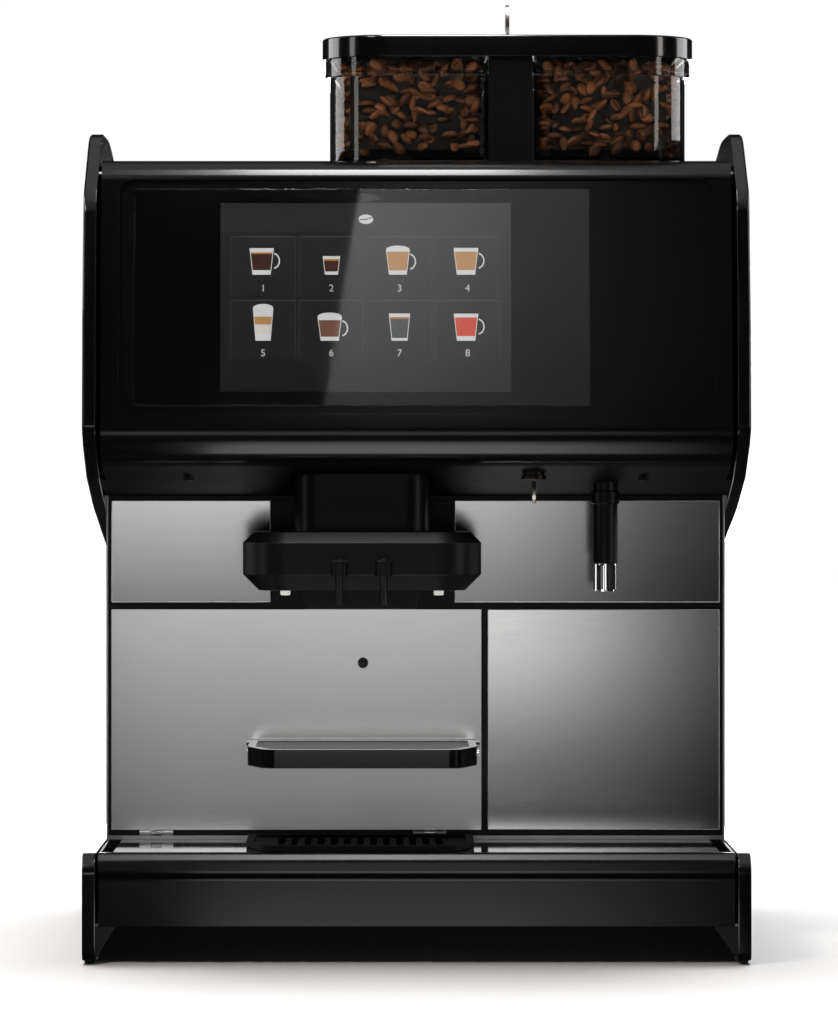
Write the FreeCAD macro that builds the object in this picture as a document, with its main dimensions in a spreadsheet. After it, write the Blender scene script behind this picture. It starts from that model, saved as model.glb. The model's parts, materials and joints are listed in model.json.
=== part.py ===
import FreeCAD, Part
import os

import Sketcher

# Table-top bean-to-cup vending machine. Millimetres, +Z up, front towards -Y.
# The origin is on the standing surface, under the middle of the machine.

Vector = FreeCAD.Vector
doc = FreeCAD.newDocument("coffee_machine")
sheet = doc.addObject("Spreadsheet::Sheet", "Sizes")
sheet_rows = []
nodes = {}


class Dim:
    """A length: its value in millimetres and the sheet expression that gives it."""

    def __init__(self, value, text):
        self.value = value
        self.text = text

    @staticmethod
    def of(other):
        return other if isinstance(other, Dim) else Dim(other, str(other))

    def __add__(self, other):
        other = Dim.of(other)
        return Dim(self.value + other.value, f"({self.text} + {other.text})")

    def __sub__(self, other):
        other = Dim.of(other)
        return Dim(self.value - other.value, f"({self.text} - {other.text})")

    def __mul__(self, other):
        other = Dim.of(other)
        return Dim(self.value * other.value, f"({self.text} * {other.text})")

    def __truediv__(self, other):
        other = Dim.of(other)
        return Dim(self.value / other.value, f"({self.text} / {other.text})")

    def __neg__(self):
        return Dim(-self.value, f"(-1 * {self.text})")


class Sizes:
    """Driving dimensions of one group of pieces, kept in the sheet as GROUP_NAME."""

    def __init__(self, group, **values):
        for name, value in values.items():
            alias = f"{group}_{name}"
            sheet_rows.append(alias)
            row = len(sheet_rows)
            sheet.set(f"A{row}", alias)
            sheet.set(f"B{row}", str(value))
            sheet.setAlias(f"B{row}", alias)
            setattr(self, name, Dim(value, f"Sizes.{alias}"))


def bind(feature, prop, dim):
    feature.setExpression(prop, Dim.of(dim).text)


def block(name, x, y, z):
    """A box between low and high along each axis."""
    feature = doc.addObject("Part::Box", name)
    for prop, axis, (low, high) in zip(("Length", "Width", "Height"), "xyz", (x, y, z)):
        bind(feature, prop, high - low)
        bind(feature, "Placement.Base." + axis, low)
    return feature


TURNS = {
    "x": FreeCAD.Rotation(Vector(0, 1, 0), 90),
    "y": FreeCAD.Rotation(Vector(1, 0, 0), -90),
    "z": FreeCAD.Rotation(),
}


def rod(name, along, start, radius, length, top_radius=None):
    """A cylinder, or a cone where top_radius is given, from start along +x, +y or +z."""
    kind = "Part::Cone" if top_radius else "Part::Cylinder"
    feature = doc.addObject(kind, name)
    bind(feature, "Radius1" if top_radius else "Radius", radius)
    if top_radius:
        bind(feature, "Radius2", top_radius)
    bind(feature, "Height", length)
    feature.Placement = FreeCAD.Placement(Vector(), TURNS[along])
    for axis, place in zip("xyz", start):
        bind(feature, "Placement.Base." + axis, place)
    return feature


def ball(name, centre, radius):
    feature = doc.addObject("Part::Sphere", name)
    bind(feature, "Radius", radius)
    for axis, place in zip("xyz", centre):
        bind(feature, "Placement.Base." + axis, place)
    return feature


def joined(name, *pieces):
    feature = doc.addObject("Part::MultiFuse", name)
    feature.Shapes = list(pieces)
    return feature


def cut(name, base, *tools):
    feature = doc.addObject("Part::Cut", name)
    feature.Base = base
    feature.Tool = tools[0] if len(tools) == 1 else joined(name + "_tools", *tools)
    return feature


def common(name, base, tool):
    feature = doc.addObject("Part::Common", name)
    feature.Base = base
    feature.Tool = tool
    return feature


def group(name, *pieces):
    """Separate solids of one kind in one node."""
    feature = doc.addObject("Part::Compound", name)
    feature.Links = list(pieces)
    return feature


def node(name, feature):
    feature.Label = name
    nodes[name] = feature
    return feature


def dress(body, kind, pick, **values):
    """A fillet or chamfer on the edges of the body's solid that pick chooses."""
    doc.recompute()
    base = body.Tip
    names = [f"Edge{n}" for n, edge in enumerate(base.Shape.Edges, 1) if pick(edge)]
    feature = body.newObject("PartDesign::" + kind, f"{body.Name}_{kind}{len(body.Group)}")
    feature.Base = (base, names)
    for prop, dim in values.items():
        bind(feature, prop, dim)
    return feature


def on_corner(plane, corner):
    """Picks the edges that stand on one corner of an outline drawn in plane."""
    axes = ["XYZ".index(letter) for letter in plane]

    def pick(edge):
        ends = [[v.Point[a] for a in axes] for v in edge.Vertexes]
        return len(ends) == 2 and all(
            abs(end[k] - Dim.of(corner[k]).value) < 1e-5 for end in ends for k in (0, 1)
        )

    return pick


def at_height(*heights):
    """Picks the edges that lie in a level plane at one of the heights."""

    def pick(edge):
        ends = [v.Point.z for v in edge.Vertexes]
        return any(all(abs(z - h.value) < 1e-5 for z in ends) for h in heights)

    return pick


def prism(name, plane, outline, low, high, rounds=()):
    """A body padded from a closed outline in plane; rounds pairs corner numbers with a radius."""
    body = doc.addObject("PartDesign::Body", name)
    sketch = body.newObject("Sketcher::SketchObject", name + "_outline")
    role = plane + "_Plane"
    support = next(f for f in body.Origin.OriginFeatures if f.Role == role)
    sketch.AttachmentSupport = [(support, "")]
    sketch.MapMode = "FlatFace"
    bind(sketch, "AttachmentOffset.Base.z", -high if plane == "XZ" else low)
    outline = [(Dim.of(a), Dim.of(b)) for a, b in outline]
    points = [Vector(a.value, b.value, 0) for a, b in outline]
    count = len(points)
    for here, there in zip(points, points[1:] + points[:1]):
        sketch.addGeometry(Part.LineSegment(here, there), False)
    for n in range(count):
        sketch.addConstraint(Sketcher.Constraint("Coincident", n, 2, (n + 1) % count, 1))
    for n, corner in enumerate(outline):
        for kind, dim in zip(("DistanceX", "DistanceY"), corner):
            index = sketch.addConstraint(Sketcher.Constraint(kind, -1, 1, n, 1, dim.value))
            sketch.setExpression(f"Constraints[{index}]", dim.text)
    pad = body.newObject("PartDesign::Pad", name + "_pad")
    pad.Profile = sketch
    bind(pad, "Length", high - low)
    for corners, radius in rounds:
        picks = [on_corner(plane, outline[n]) for n in corners]
        dress(body, "Fillet", lambda edge: any(pick(edge) for pick in picks), Radius=radius)
    return body


def oblong(name, x, y, z, front, rear=None):
    """A level slab whose upright edges are rounded: front radius and rear radius."""
    corners = [(x[0], y[0]), (x[1], y[0]), (x[1], y[1]), (x[0], y[1])]
    rounds = [((0, 1), front)]
    if rear:
        rounds.append(((2, 3), rear))
    return prism(name, "XY", corners, z[0], z[1], rounds)


def both_sides(name, x, y, z):
    """Two mirrored boxes, on the +X and the -X side."""
    low, high = x
    return block(name + "_right", (low, high), y, z), block(name + "_left", (-high, -low), y, z)


# ---------------------------------------------------------------- overall sizes
case = Sizes(
    "case",
    width=500,  # over the side plates
    depth=570,  # over the side plates
    plate=10,  # side plate thickness
    sheet=1.5,  # steel sheet
    gap=0.5,  # between a moving piece and its neighbours
    running=0.05,  # radial clearance of a pin in its bore
    over=1,  # how far a cutting solid runs past what it cuts
    panel_set=152,  # front panels, behind the front of the side plates
    rear_set=20,  # rear panel, ahead of the rear of the side plates
    cover_under=600,
    cover_top=603.5,
)
front = -case.depth / 2
half = case.width / 2
inner = half - case.plate
shell = inner - case.sheet
rear = -front - case.rear_set


def deep(distance):
    """A place behind the front of the side plates."""
    return front + distance


panel = deep(case.panel_set)

# ---------------------------------------------------------------- base
base = Sizes(
    "base",
    foot=3,
    foot_inset=1,
    foot_length=40,
    foot_end=20,
    top=83,
    under=28,
    floor=2,
    nose_round=16,
    corner_round=6,
    pan_front=12.6,
    bulkhead=147.5,
)
plate_outline = [
    (front, base.foot),
    (-front, base.foot),
    (-front, base.top),
    (front, base.top),
]
for side, low in (("right", inner), ("left", -half)):
    prism(
        "base_plate_" + side,
        "YZ",
        plate_outline,
        low,
        low + case.plate,
        [((0, 1, 2), base.corner_round), ((3,), base.nose_round)],
    )
node("base_sides", group("base_sides", doc.base_plate_right, doc.base_plate_left))

feet = []
for name, start in (("front", front + base.foot_end), ("rear", -front - base.foot_end - base.foot_length)):
    feet += both_sides(
        "foot_" + name,
        (inner + base.foot_inset, half - base.foot_inset),
        (start, start + base.foot_length),
        (Dim.of(0), base.foot),
    )
node("foot_pads", group("foot_pads", *feet))

hinge = Sizes(
    "hinge",
    knuckle=2.2,
    pin=1.1,
    length=26,
    middle=9,
    set=149,
    height=88.4,
    left_middle=-201,
    right_middle=11,
    leaf=1.2,
)
hinge_y = deep(hinge.set)
pan_top = hinge.height - hinge.knuckle
pan_floor = base.under + base.floor
bulkhead = deep(base.bulkhead)
pan_pieces = [
    block("pan_floor", (-inner, inner), (deep(base.pan_front), rear), (base.under, pan_floor)),
    block("pan_bulkhead", (-shell, shell), (bulkhead, panel), (pan_floor, pan_top)),
]
door_knuckles = []
for side, middle in (("left", hinge.left_middle), ("right", hinge.right_middle)):
    ends = (middle - hinge.length / 2, middle + hinge.length / 2)
    inner_ends = (middle - hinge.middle / 2, middle + hinge.middle / 2)
    for tag, low, high in (("a", ends[0], inner_ends[0]), ("b", inner_ends[1], ends[1])):
        at = (low, hinge_y, hinge.height)
        pan_pieces.append(rod(f"hinge_{side}_{tag}", "x", at, hinge.knuckle, high - low))
        root = (pan_top - hinge.leaf, hinge.height)
        pan_pieces.append(
            block(
                f"hinge_{side}_{tag}_root", (low, high), (hinge_y - hinge.leaf, hinge_y + hinge.leaf), root
            )
        )
    pan_pieces.append(
        rod(f"hinge_{side}_pin", "x", (ends[0], hinge_y, hinge.height), hinge.pin, hinge.length)
    )
    play = case.gap / 2
    low, high = inner_ends[0] + play, inner_ends[1] - play
    knuckle = joined(
        f"door_knuckle_{side}_solid",
        rod(f"door_knuckle_{side}_barrel", "x", (low, hinge_y, hinge.height), hinge.knuckle, high - low),
        block(
            f"door_leaf_{side}",
            (low, high),
            (hinge_y, panel + case.sheet),
            (hinge.height + hinge.pin, hinge.height + hinge.pin + hinge.leaf),
        ),
    )
    bore = rod(
        f"door_knuckle_{side}_bore",
        "x",
        (low - hinge.leaf, hinge_y, hinge.height),
        hinge.pin + case.running,
        high - low + hinge.leaf * 2,
    )
    door_knuckles.append(cut("door_knuckle_" + side, knuckle, bore))
node("base_pan", joined("base_pan", *pan_pieces))

# ---------------------------------------------------------------- outer case
for side, low in (("right", shell), ("left", -inner)):
    block("side_sheet_" + side, (low, low + case.sheet), (panel, rear), (pan_floor, case.cover_under))
node("side_panels", group("side_panels", doc.side_sheet_right, doc.side_sheet_left))

flap_axis = Sizes("flap_axis", set=105, height=595, pin=4, pin_root=5, barrel=8.5)
flap_y = deep(flap_axis.set)
ear = Sizes(
    "ear",
    nose_low=398,
    nose_mid_set=2,
    nose_mid=480,
    brow_set=18,
    brow=575,
    crown_set=95,
    crown=627.5,
    fall_set=200,
    tail_set=300,
    tail_top=610,
    tail_low=262,
    belly_set=150,
    belly=338,
    jaw_set=60,
    jaw=362,
    chin_set=14,
    chin=386,
    brow_round=30,
    crown_round=60,
    fall_round=300,
    tail_round=14,
    chin_round=12,
    jaw_round=60,
    edge=1.5,
)
ear_outline = [
    (front, ear.nose_low),
    (deep(ear.nose_mid_set), ear.nose_mid),
    (deep(ear.brow_set), ear.brow),
    (deep(ear.crown_set), ear.crown),
    (deep(ear.fall_set), ear.crown),
    (deep(ear.tail_set), ear.tail_top),
    (-front, case.cover_top),
    (-front, ear.tail_low),
    (deep(ear.belly_set), ear.belly),
    (deep(ear.jaw_set), ear.jaw),
    (deep(ear.chin_set), ear.chin),
]
ear_rounds = [
    ((0, 10), ear.chin_round),
    ((2,), ear.brow_round),
    ((3,), ear.crown_round),
    ((1, 4, 5, 8), ear.fall_round),
    ((6, 7), ear.tail_round),
    ((9,), ear.jaw_round),
]
ears = []
for side, low, turn in (("right", inner, 1), ("left", -half, -1)):
    body = prism("ear_" + side, "YZ", ear_outline, low, low + case.plate, ear_rounds)
    outer = half * turn

    def on_outer_face(edge, x=outer.value):
        return all(abs(v.Point.x - x) < 1e-5 for v in edge.Vertexes)

    dress(body, "Chamfer", on_outer_face, Size=ear.edge)
    reach = flap_axis.pin_root * 3
    start = inner - flap_axis.pin_root * 2 if turn > 0 else -inner - flap_axis.pin_root
    pin = rod("flap_pin_" + side, "x", (start, flap_y, flap_axis.height), flap_axis.pin, reach)
    ears.append(joined("upper_side_" + side, body, pin))
for side, feature in zip(("right", "left"), ears):
    node("upper_side_" + side, feature)

rear_holes = Sizes(
    "rear_holes",
    fan_x=150,
    fan_z=524,
    fan=36,
    bar=5,
    valve_x=-150,
    valve_z=140,
    valve=10,
    drain_x=0,
    drain_z=60,
    drain=10.5,
    power_x=150,
    power_z=150,
    power_width=48,
    power_height=28,
)
rear_sheet = block("rear_sheet", (-shell, shell), (rear - case.sheet, rear), (pan_floor, case.cover_under))
through = case.sheet * 4
rear_start = rear - case.sheet * 2
power_x = (rear_holes.power_x - rear_holes.power_width / 2, rear_holes.power_x + rear_holes.power_width / 2)
power_z = (
    rear_holes.power_z - rear_holes.power_height / 2, rear_holes.power_z + rear_holes.power_height / 2
)
grille_hole = rod(
    "grille_hole", "y", (rear_holes.fan_x, rear_start, rear_holes.fan_z), rear_holes.fan, through
)
bars = []
for n in range(-3, 4):
    middle = rear_holes.fan_z + rear_holes.bar * 2 * n
    bars.append(
        block(
            f"grille_bar{n + 3}",
            (rear_holes.fan_x - rear_holes.fan, rear_holes.fan_x + rear_holes.fan),
            (rear_start - case.sheet, rear_start + through + case.sheet),
            (middle - rear_holes.bar / 4, middle + rear_holes.bar / 4),
        )
    )
rear_cuts = [
    cut("grille_slots", grille_hole, *bars),
    rod("valve_hole", "y", (rear_holes.valve_x, rear_start, rear_holes.valve_z), rear_holes.valve, through),
    rod("drain_hole", "y", (rear_holes.drain_x, rear_start, rear_holes.drain_z), rear_holes.drain, through),
    block("power_hole", power_x, (rear_start, rear_start + through), power_z),
]
node("rear_panel", cut("rear_panel", rear_sheet, *rear_cuts))

bean = Sizes(
    "bean",
    left_x=-8,
    right_x=150,
    set=230,
    hole=18,
)
bean_y = deep(bean.set)
cover_front = flap_y + flap_axis.barrel + case.gap
cover = block("cover_sheet", (-inner, inner), (cover_front, rear), (case.cover_under, case.cover_top))
cover_holes = [
    rod(
        "cover_hole_" + side,
        "z",
        (x, bean_y, case.cover_under - case.over),
        bean.hole,
        case.cover_top - case.cover_under + case.over * 2,
    )
    for side, x in (("left", bean.left_x), ("right", bean.right_x))
]
node("top_cover", cut("top_cover", cover, *cover_holes))

# ---------------------------------------------------------------- front
face = Sizes(
    "face",
    side=4,  # strip of the side panel seen beside the front panels
    seam=0.6,
    split_left=-112,
    split_right=29.8,
    upper_low=267,
    upper_top=346,
    thick=2,
    frame=3,
    lower_low=90.5,
    lower_top=261.5,
    door_right=51,
    drawer_left=56,
    opening_inset=5,
    head_half=200,
    head_low=380,
    head_top=580,
)
frame_front = panel + face.thick
frame_back = frame_front + face.frame
face_half = inner - face.side
door_x = (-face_half, face.door_right)
drawer_x = (face.drawer_left, face_half)
lower_z = (face.lower_low, face.lower_top)


def shrunk(pair, by):
    return pair[0] + by, pair[1] - by


frame_cuts = [
    block(
        "frame_door_hole",
        shrunk(door_x, face.opening_inset),
        (panel, frame_back + case.over),
        shrunk(lower_z, face.opening_inset),
    ),
    block(
        "frame_drawer_hole",
        shrunk(drawer_x, face.opening_inset),
        (panel, frame_back + case.over),
        shrunk(lower_z, face.opening_inset),
    ),
    block(
        "frame_head_hole",
        (-face.head_half, face.head_half),
        (panel, frame_back + case.over),
        (face.head_low, face.head_top),
    ),
]
frame_sheet = block(
    "frame_sheet", (-shell, shell), (frame_front, frame_back), (pan_floor, case.cover_under)
)
node("front_frame", cut("front_frame", frame_sheet, *frame_cuts))
for name, low, high in (
    ("upper_panel_left", -face_half, face.split_left - face.seam),
    ("upper_panel_right", face.split_right + face.seam, face_half),
):
    block(name, (low, high), (panel, frame_front), (face.upper_low, face.upper_top))
node("front_panels", group("front_panels", doc.upper_panel_left, doc.upper_panel_right))
node(
    "spout_backplate",
    block(
        "spout_backplate",
        (face.split_left, face.split_right),
        (panel, frame_front),
        (face.upper_low, face.upper_top),
    ),
)

neck = Sizes(
    "neck",
    left=-93,
    right=10,
    set=62,
    back=118,
    corner=18,
    wall=3,
    top=450,
    room=3,
    carriage=20,
)
water = Sizes(
    "water",
    x=145,
    set=101,
    tube=9.5,
    bore=3,
    low=298,
    top=385,
    collar=11,
    collar_low=344,
    nozzle=9,
    nozzle_tip=8.6,
    nozzle_low=277,
)
under = Sizes("under", set=84, height=362, back_height=349.5, thick=2)
slope_outline = [
    (deep(under.set), under.height),
    (frame_front, under.back_height),
    (frame_front, under.back_height + under.thick),
    (deep(under.set), under.height + under.thick),
]
slope = prism("underside_sheet", "YZ", slope_outline, -inner, inner)
water_at = deep(water.set)
under_cuts = [
    block(
        "neck_notch",
        (neck.left - neck.room, neck.right + neck.room),
        (deep(under.set) - case.over, deep(neck.back) + neck.room),
        (under.back_height - case.over, under.height + under.thick + case.over),
    ),
    rod(
        "water_hole", "z", (water.x, water_at, under.back_height - case.over), water.tube, under.thick * 10
    ),
]
node("underside_panel", cut("underside_panel", slope, *under_cuts))
tube = joined(
    "water_sleeve",
    rod("water_tube_solid", "z", (water.x, water_at, water.low), water.tube, water.top - water.low),
    rod("water_collar", "z", (water.x, water_at, water.collar_low), water.collar, water.tube),
)
tube_bore = rod(
    "water_tube_bore",
    "z",
    (water.x, water_at, water.low - case.over),
    water.bore,
    water.top - water.low + case.over * 2,
)
slope_room = prism(
    "collar_room",
    "YZ",
    [
        (deep(under.set) - water.tube, under.height + under.thick),
        (deep(under.set), under.height),
        (frame_front, under.back_height),
        (frame_front, water.top),
        (deep(under.set) - water.tube, water.top),
    ],
    water.x - water.collar - case.over,
    water.x + water.collar + case.over,
)
sleeve_core = rod("sleeve_core", "z", (water.x, water_at, water.low), water.tube, water.top - water.low)
collar_trim = cut("collar_trim", slope_room, sleeve_core)
node("hot_water_tube", cut("hot_water_tube", tube, tube_bore, collar_trim))
nozzle = rod(
    "nozzle_solid",
    "z",
    (water.x, water_at, water.nozzle_low),
    water.nozzle_tip,
    water.low - water.nozzle_low,
    water.nozzle,
)
nozzle_bore = rod(
    "nozzle_bore",
    "z",
    (water.x, water_at, water.nozzle_low - case.over),
    water.bore,
    water.low - water.nozzle_low + case.over * 2,
)
node("hot_water_nozzle", cut("hot_water_nozzle", nozzle, nozzle_bore))

# ---------------------------------------------------------------- flap with the screen
flap = Sizes(
    "flap",
    side_gap=3.5,
    wall=3,
    face_wall=8,
    chin_set=3.5,
    chin=377.9,
    chin_round=28,
    lip_back_gap=0.6,
    brow_set=24.5,
    brow=593.5,
    brow_round=12,
    top_set=42,
    top_round=40,
    recess_half=223.5,
    recess_low=411.6,
    recess_top=588,
    recess_deep=5,
    recess_round=12,
)
flap_half = inner - flap.side_gap
lean = (flap.brow_set - flap.chin_set) / (flap.brow - flap.chin)
lip_slope = (under.height - under.back_height) / (frame_front - deep(under.set))


def fascia(height, behind=0):
    """A place behind the leaning front of the flap."""
    return deep(flap.chin_set + lean * (height - flap.chin)) + behind


lip_back = deep(under.set - flap.lip_back_gap)


def lip(place):
    """Height of the sloping underside, carried forward under the flap."""
    return under.height + lip_slope * (deep(under.set) - place)


chin_y = fascia(flap.chin)
chin_z = lip(chin_y)
flap_outline = [
    (fascia(flap.brow), flap.brow),
    (fascia(chin_z), chin_z),
    (lip_back, lip(lip_back)),
    (lip_back, flap_axis.height),
    (flap_y, flap_axis.height),
    (flap_y, case.cover_top),
    (deep(flap.top_set), case.cover_top),
]
flap_solid = prism(
    "flap_solid",
    "YZ",
    flap_outline,
    -flap_half,
    flap_half,
    [((0,), flap.brow_round), ((1,), flap.chin_round), ((6,), flap.top_round)],
)
cavity_outline = [
    (fascia(flap.brow, flap.face_wall), flap.brow - flap.wall),
    (fascia(flap.recess_low, flap.face_wall), flap.recess_low - flap.wall),
    (deep(flap.chin_set + flap.chin_round), lip(deep(flap.chin_set + flap.chin_round)) + flap.wall),
    (lip_back + case.over, lip(lip_back + case.over) + flap.wall),
    (lip_back + case.over, flap_axis.height - flap_axis.barrel),
    (deep(flap.top_set), case.cover_top - flap.face_wall),
]
cavity = prism("flap_cavity", "YZ", cavity_outline, -flap_half + flap.wall, flap_half - flap.wall)
recess_outline = [
    (fascia(flap.recess_low, -flap.face_wall), flap.recess_low),
    (fascia(flap.recess_low, flap.recess_deep), flap.recess_low),
    (fascia(flap.recess_top, flap.recess_deep), flap.recess_top),
    (fascia(flap.recess_top, -flap.face_wall), flap.recess_top),
]
recess = prism("flap_recess", "YZ", recess_outline, -flap.recess_half, flap.recess_half)


def runs_deep(edge):
    ends = [v.Point for v in edge.Vertexes]
    return abs(ends[0].x - ends[1].x) < 1e-5 and abs(ends[0].z - ends[1].z) < 1e-5


dress(recess, "Fillet", runs_deep, Radius=flap.recess_round)

screen = Sizes(
    "screen",
    left=-147.5,
    right=71,
    low=428,
    top=570.5,
    glass_left=-212,
    glass_right=130,
    glass_low=418,
    glass_top=581,
    glass=3,
    rim=6,
    deep=30,
    gap=0.3,
)


def leaning(name, x, z, start, end):
    """A slab parallel to the leaning front, from start to end behind it."""
    outline = [
        (fascia(z[0], start), z[0]),
        (fascia(z[0], end), z[0]),
        (fascia(z[1], end), z[1]),
        (fascia(z[1], start), z[1]),
    ]
    return prism(name, "YZ", outline, x[0], x[1])


screen_x = (screen.left, screen.right)
screen_z = (screen.low, screen.top)
window = leaning("flap_window", screen_x, screen_z, flap.recess_deep - case.over, flap.face_wall + flap.wall)
lock = Sizes(
    "lock",
    x=89,
    set=54,
    barrel=8,
    flange=9.5,
    flange_low=362.5,
    flange_top=365.8,
    top=388,
    bore=4.2,
    bow=9,
    bow_thick=2.8,
    bow_hole=2.5,
    blade=2,
    blade_wide=7,
    blade_top=382,
    clear=0.5,
)
lock_y = deep(lock.set)
screws = Sizes("screws", x=173, set=68, head=4, head_high=2.2, shank=1.5, length=9, low=361.6)
barrel = rod("flap_barrel", "x", (-flap_half, flap_y, flap_axis.height), flap_axis.barrel, flap_half * 2)
screw_y = deep(screws.set)
flap_cuts = [
    cavity,
    recess,
    window,
    rod(
        "flap_bore",
        "x",
        (-flap_half - case.over, flap_y, flap_axis.height),
        flap_axis.pin + case.running,
        (flap_half + case.over) * 2,
    ),
    block(
        "lip_notch",
        (neck.left - neck.room, neck.right + neck.room),
        (deep(neck.set) - neck.room - case.over, lip_back + case.over),
        (under.back_height, chin_z + flap.wall),
    ),
    rod("lock_hole", "z", (lock.x, lock_y, lock.flange_low), lock.barrel, lock.top - lock.flange_low),
]
screw_solids = []
for side, turn in (("right", 1), ("left", -1)):
    at = (screws.x * turn, screw_y, screws.low)
    flap_cuts.append(rod("screw_hole_" + side, "z", at, screws.shank, screws.length))
    screw_solids.append(
        joined(
            "screw_" + side,
            rod("screw_head_" + side, "z", at, screws.head, screws.head_high),
            rod("screw_shank_" + side, "z", at, screws.shank, screws.length),
        )
    )
flap_body = joined("flap_body", flap_solid, barrel)
node("flap_shell", cut("flap_shell", flap_body, *flap_cuts))
node("flap_screws", group("flap_screws", *screw_solids))
node(
    "display_glass",
    leaning(
        "display_glass",
        (screen.glass_left, screen.glass_right),
        (screen.glass_low, screen.glass_top),
        flap.recess_deep - screen.glass,
        flap.recess_deep,
    ),
)
module_front = leaning(
    "module_front",
    shrunk(screen_x, screen.gap),
    shrunk(screen_z, screen.gap),
    flap.recess_deep + screen.gap,
    flap.face_wall + screen.gap * 2,
)
module_back = leaning(
    "module_back",
    shrunk(screen_x, -screen.rim),
    shrunk(screen_z, -screen.rim),
    flap.face_wall + screen.gap,
    screen.deep,
)
node("display_module", joined("display_module", module_front, module_back))


def cam_lock(name, x, y, flange, barrel_to, bore_from):
    """A lock barrel along Z with a flange and a keyway bored right through."""
    low = min(flange[0].value, barrel_to.value)
    start = flange[0] if low == flange[0].value else barrel_to
    height = barrel_to - flange[0] if start is flange[0] else flange[1] - barrel_to
    solid = joined(
        name + "_solid",
        rod(name + "_flange", "z", (x, y, flange[0]), lock.flange, flange[1] - flange[0]),
        rod(name + "_barrel", "z", (x, y, start), lock.barrel, height),
    )
    return cut(name, solid, rod(name + "_bore", "z", (x, y, bore_from), lock.bore, height + case.over * 2))


def key(name, x, y, bow_middle, blade_z):
    """A flat key whose bow stands edge-on to the front."""
    half_thick = lock.bow_thick / 2
    bow = rod(name + "_bow", "x", (x - half_thick, y, bow_middle), lock.bow, lock.bow_thick)
    blade = block(
        name + "_blade",
        (x - lock.blade / 2, x + lock.blade / 2),
        (y - lock.blade_wide / 2, y + lock.blade_wide / 2),
        blade_z,
    )
    solid = joined(name + "_solid", bow, blade)
    away = bow_middle - lock.bow / 2 if blade_z[1].value > bow_middle.value else bow_middle + lock.bow / 2
    ring = rod(
        name + "_ring_hole",
        "x",
        (x - half_thick - case.over, y, away),
        lock.bow_hole,
        lock.bow_thick + case.over * 2,
    )
    return cut(name, solid, ring)


node(
    "flap_lock",
    cam_lock(
        "flap_lock",
        lock.x,
        lock_y,
        (lock.flange_low, lock.flange_top),
        lock.top,
        lock.flange_low - case.over,
    ),
)
bow_z = lock.flange_low - lock.clear - lock.bow
node("flap_key", key("flap_key", lock.x, lock_y, bow_z, (bow_z, lock.blade_top)))

# ---------------------------------------------------------------- spout
spout = Sizes(
    "spout",
    left=-131,
    right=49,
    set=14,
    back=112,
    low=279,
    top=323,
    front_round=34,
    rear_round=16,
    top_chamfer=8,
    low_chamfer=12,
    wall=5,
    block_left=-88,
    block_right=5,
    block_low=265,
    block_taper=4,
    block_set=34,
    block_back=92,
    floor=3,
    tube=2.75,
    tube_bore=1.8,
    tube_low=268.7,
    tube_top=303,
    tube_left=-57.9,
    tube_right=-24.8,
    bracket=12,
    bracket_low=290,
    bracket_high=11.5,
    bracket_deep=9,
    led=3.75,
    led_left=-98.6,
    led_right=16.8,
    led_set=32,
    led_low=275.5,
    led_high=6,
)
spout_y = (deep(spout.set), deep(spout.back))
head = oblong(
    "head_solid",
    (spout.left, spout.right),
    spout_y,
    (spout.low, spout.top),
    spout.front_round,
    spout.rear_round,
)
dress(head, "Chamfer", at_height(spout.top), Size=spout.top_chamfer)
dress(head, "Chamfer", at_height(spout.low), Size=spout.low_chamfer)
block_x = (spout.block_left, spout.block_right)
block_y = (deep(spout.block_set), deep(spout.block_back))
pocket = block("head_pocket", block_x, block_y, (spout.low - case.over, spout.top - spout.wall))
led_at = [(x, deep(spout.led_set), spout.led_low) for x in (spout.led_left, spout.led_right)]
led_holes = [
    rod(f"led_hole{n}", "z", at, spout.led, spout.led_high + case.over)
    for n, at in enumerate(led_at)
]
brackets = []
tube_y = deep(spout.set) - spout.bracket_deep / 2
tubes = []
for side, x in (("left", spout.tube_left), ("right", spout.tube_right)):
    brackets.append(
        oblong(
            "bracket_" + side,
            (x - spout.bracket / 2, x + spout.bracket / 2),
            (deep(spout.set) - spout.bracket_deep, deep(spout.set) + case.over),
            (spout.bracket_low, spout.bracket_low + spout.bracket_high),
            spout.bracket / 3,
        )
    )
    long = spout.tube_top - spout.tube_low
    solid = rod("tube_solid_" + side, "z", (x, tube_y, spout.tube_low), spout.tube, long)
    bore = rod(
        "tube_bore_" + side,
        "z",
        (x, tube_y, spout.tube_low - case.over),
        spout.tube_bore,
        long - spout.wall,
    )
    tubes.append(cut("outlet_tube_" + side, solid, bore))
tube_holes = [
    rod("tube_hole_" + side, "z", (x, tube_y, spout.tube_low), spout.tube, spout.tube_top - spout.tube_low)
    for side, x in (("left", spout.tube_left), ("right", spout.tube_right))
]
head_body = joined("head_body", head, *brackets)
node("spout_head", cut("spout_head", head_body, pocket, *led_holes, *tube_holes))
node("outlet_tubes", group("outlet_tubes", *tubes))
node(
    "spout_leds",
    group(
        "spout_leds", *[rod(f"led{n}", "z", at, spout.led, spout.led_high) for n, at in enumerate(led_at)]
    ),
)
lower_outline = [
    (spout.block_left, spout.low + spout.floor),
    (spout.block_left, spout.low),
    (spout.block_left + spout.block_taper, spout.block_low),
    (spout.block_right - spout.block_taper, spout.block_low),
    (spout.block_right, spout.low),
    (spout.block_right, spout.low + spout.floor),
]
node("spout_lower_block", prism("spout_lower_block", "XZ", lower_outline, block_y[0], block_y[1]))

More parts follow.
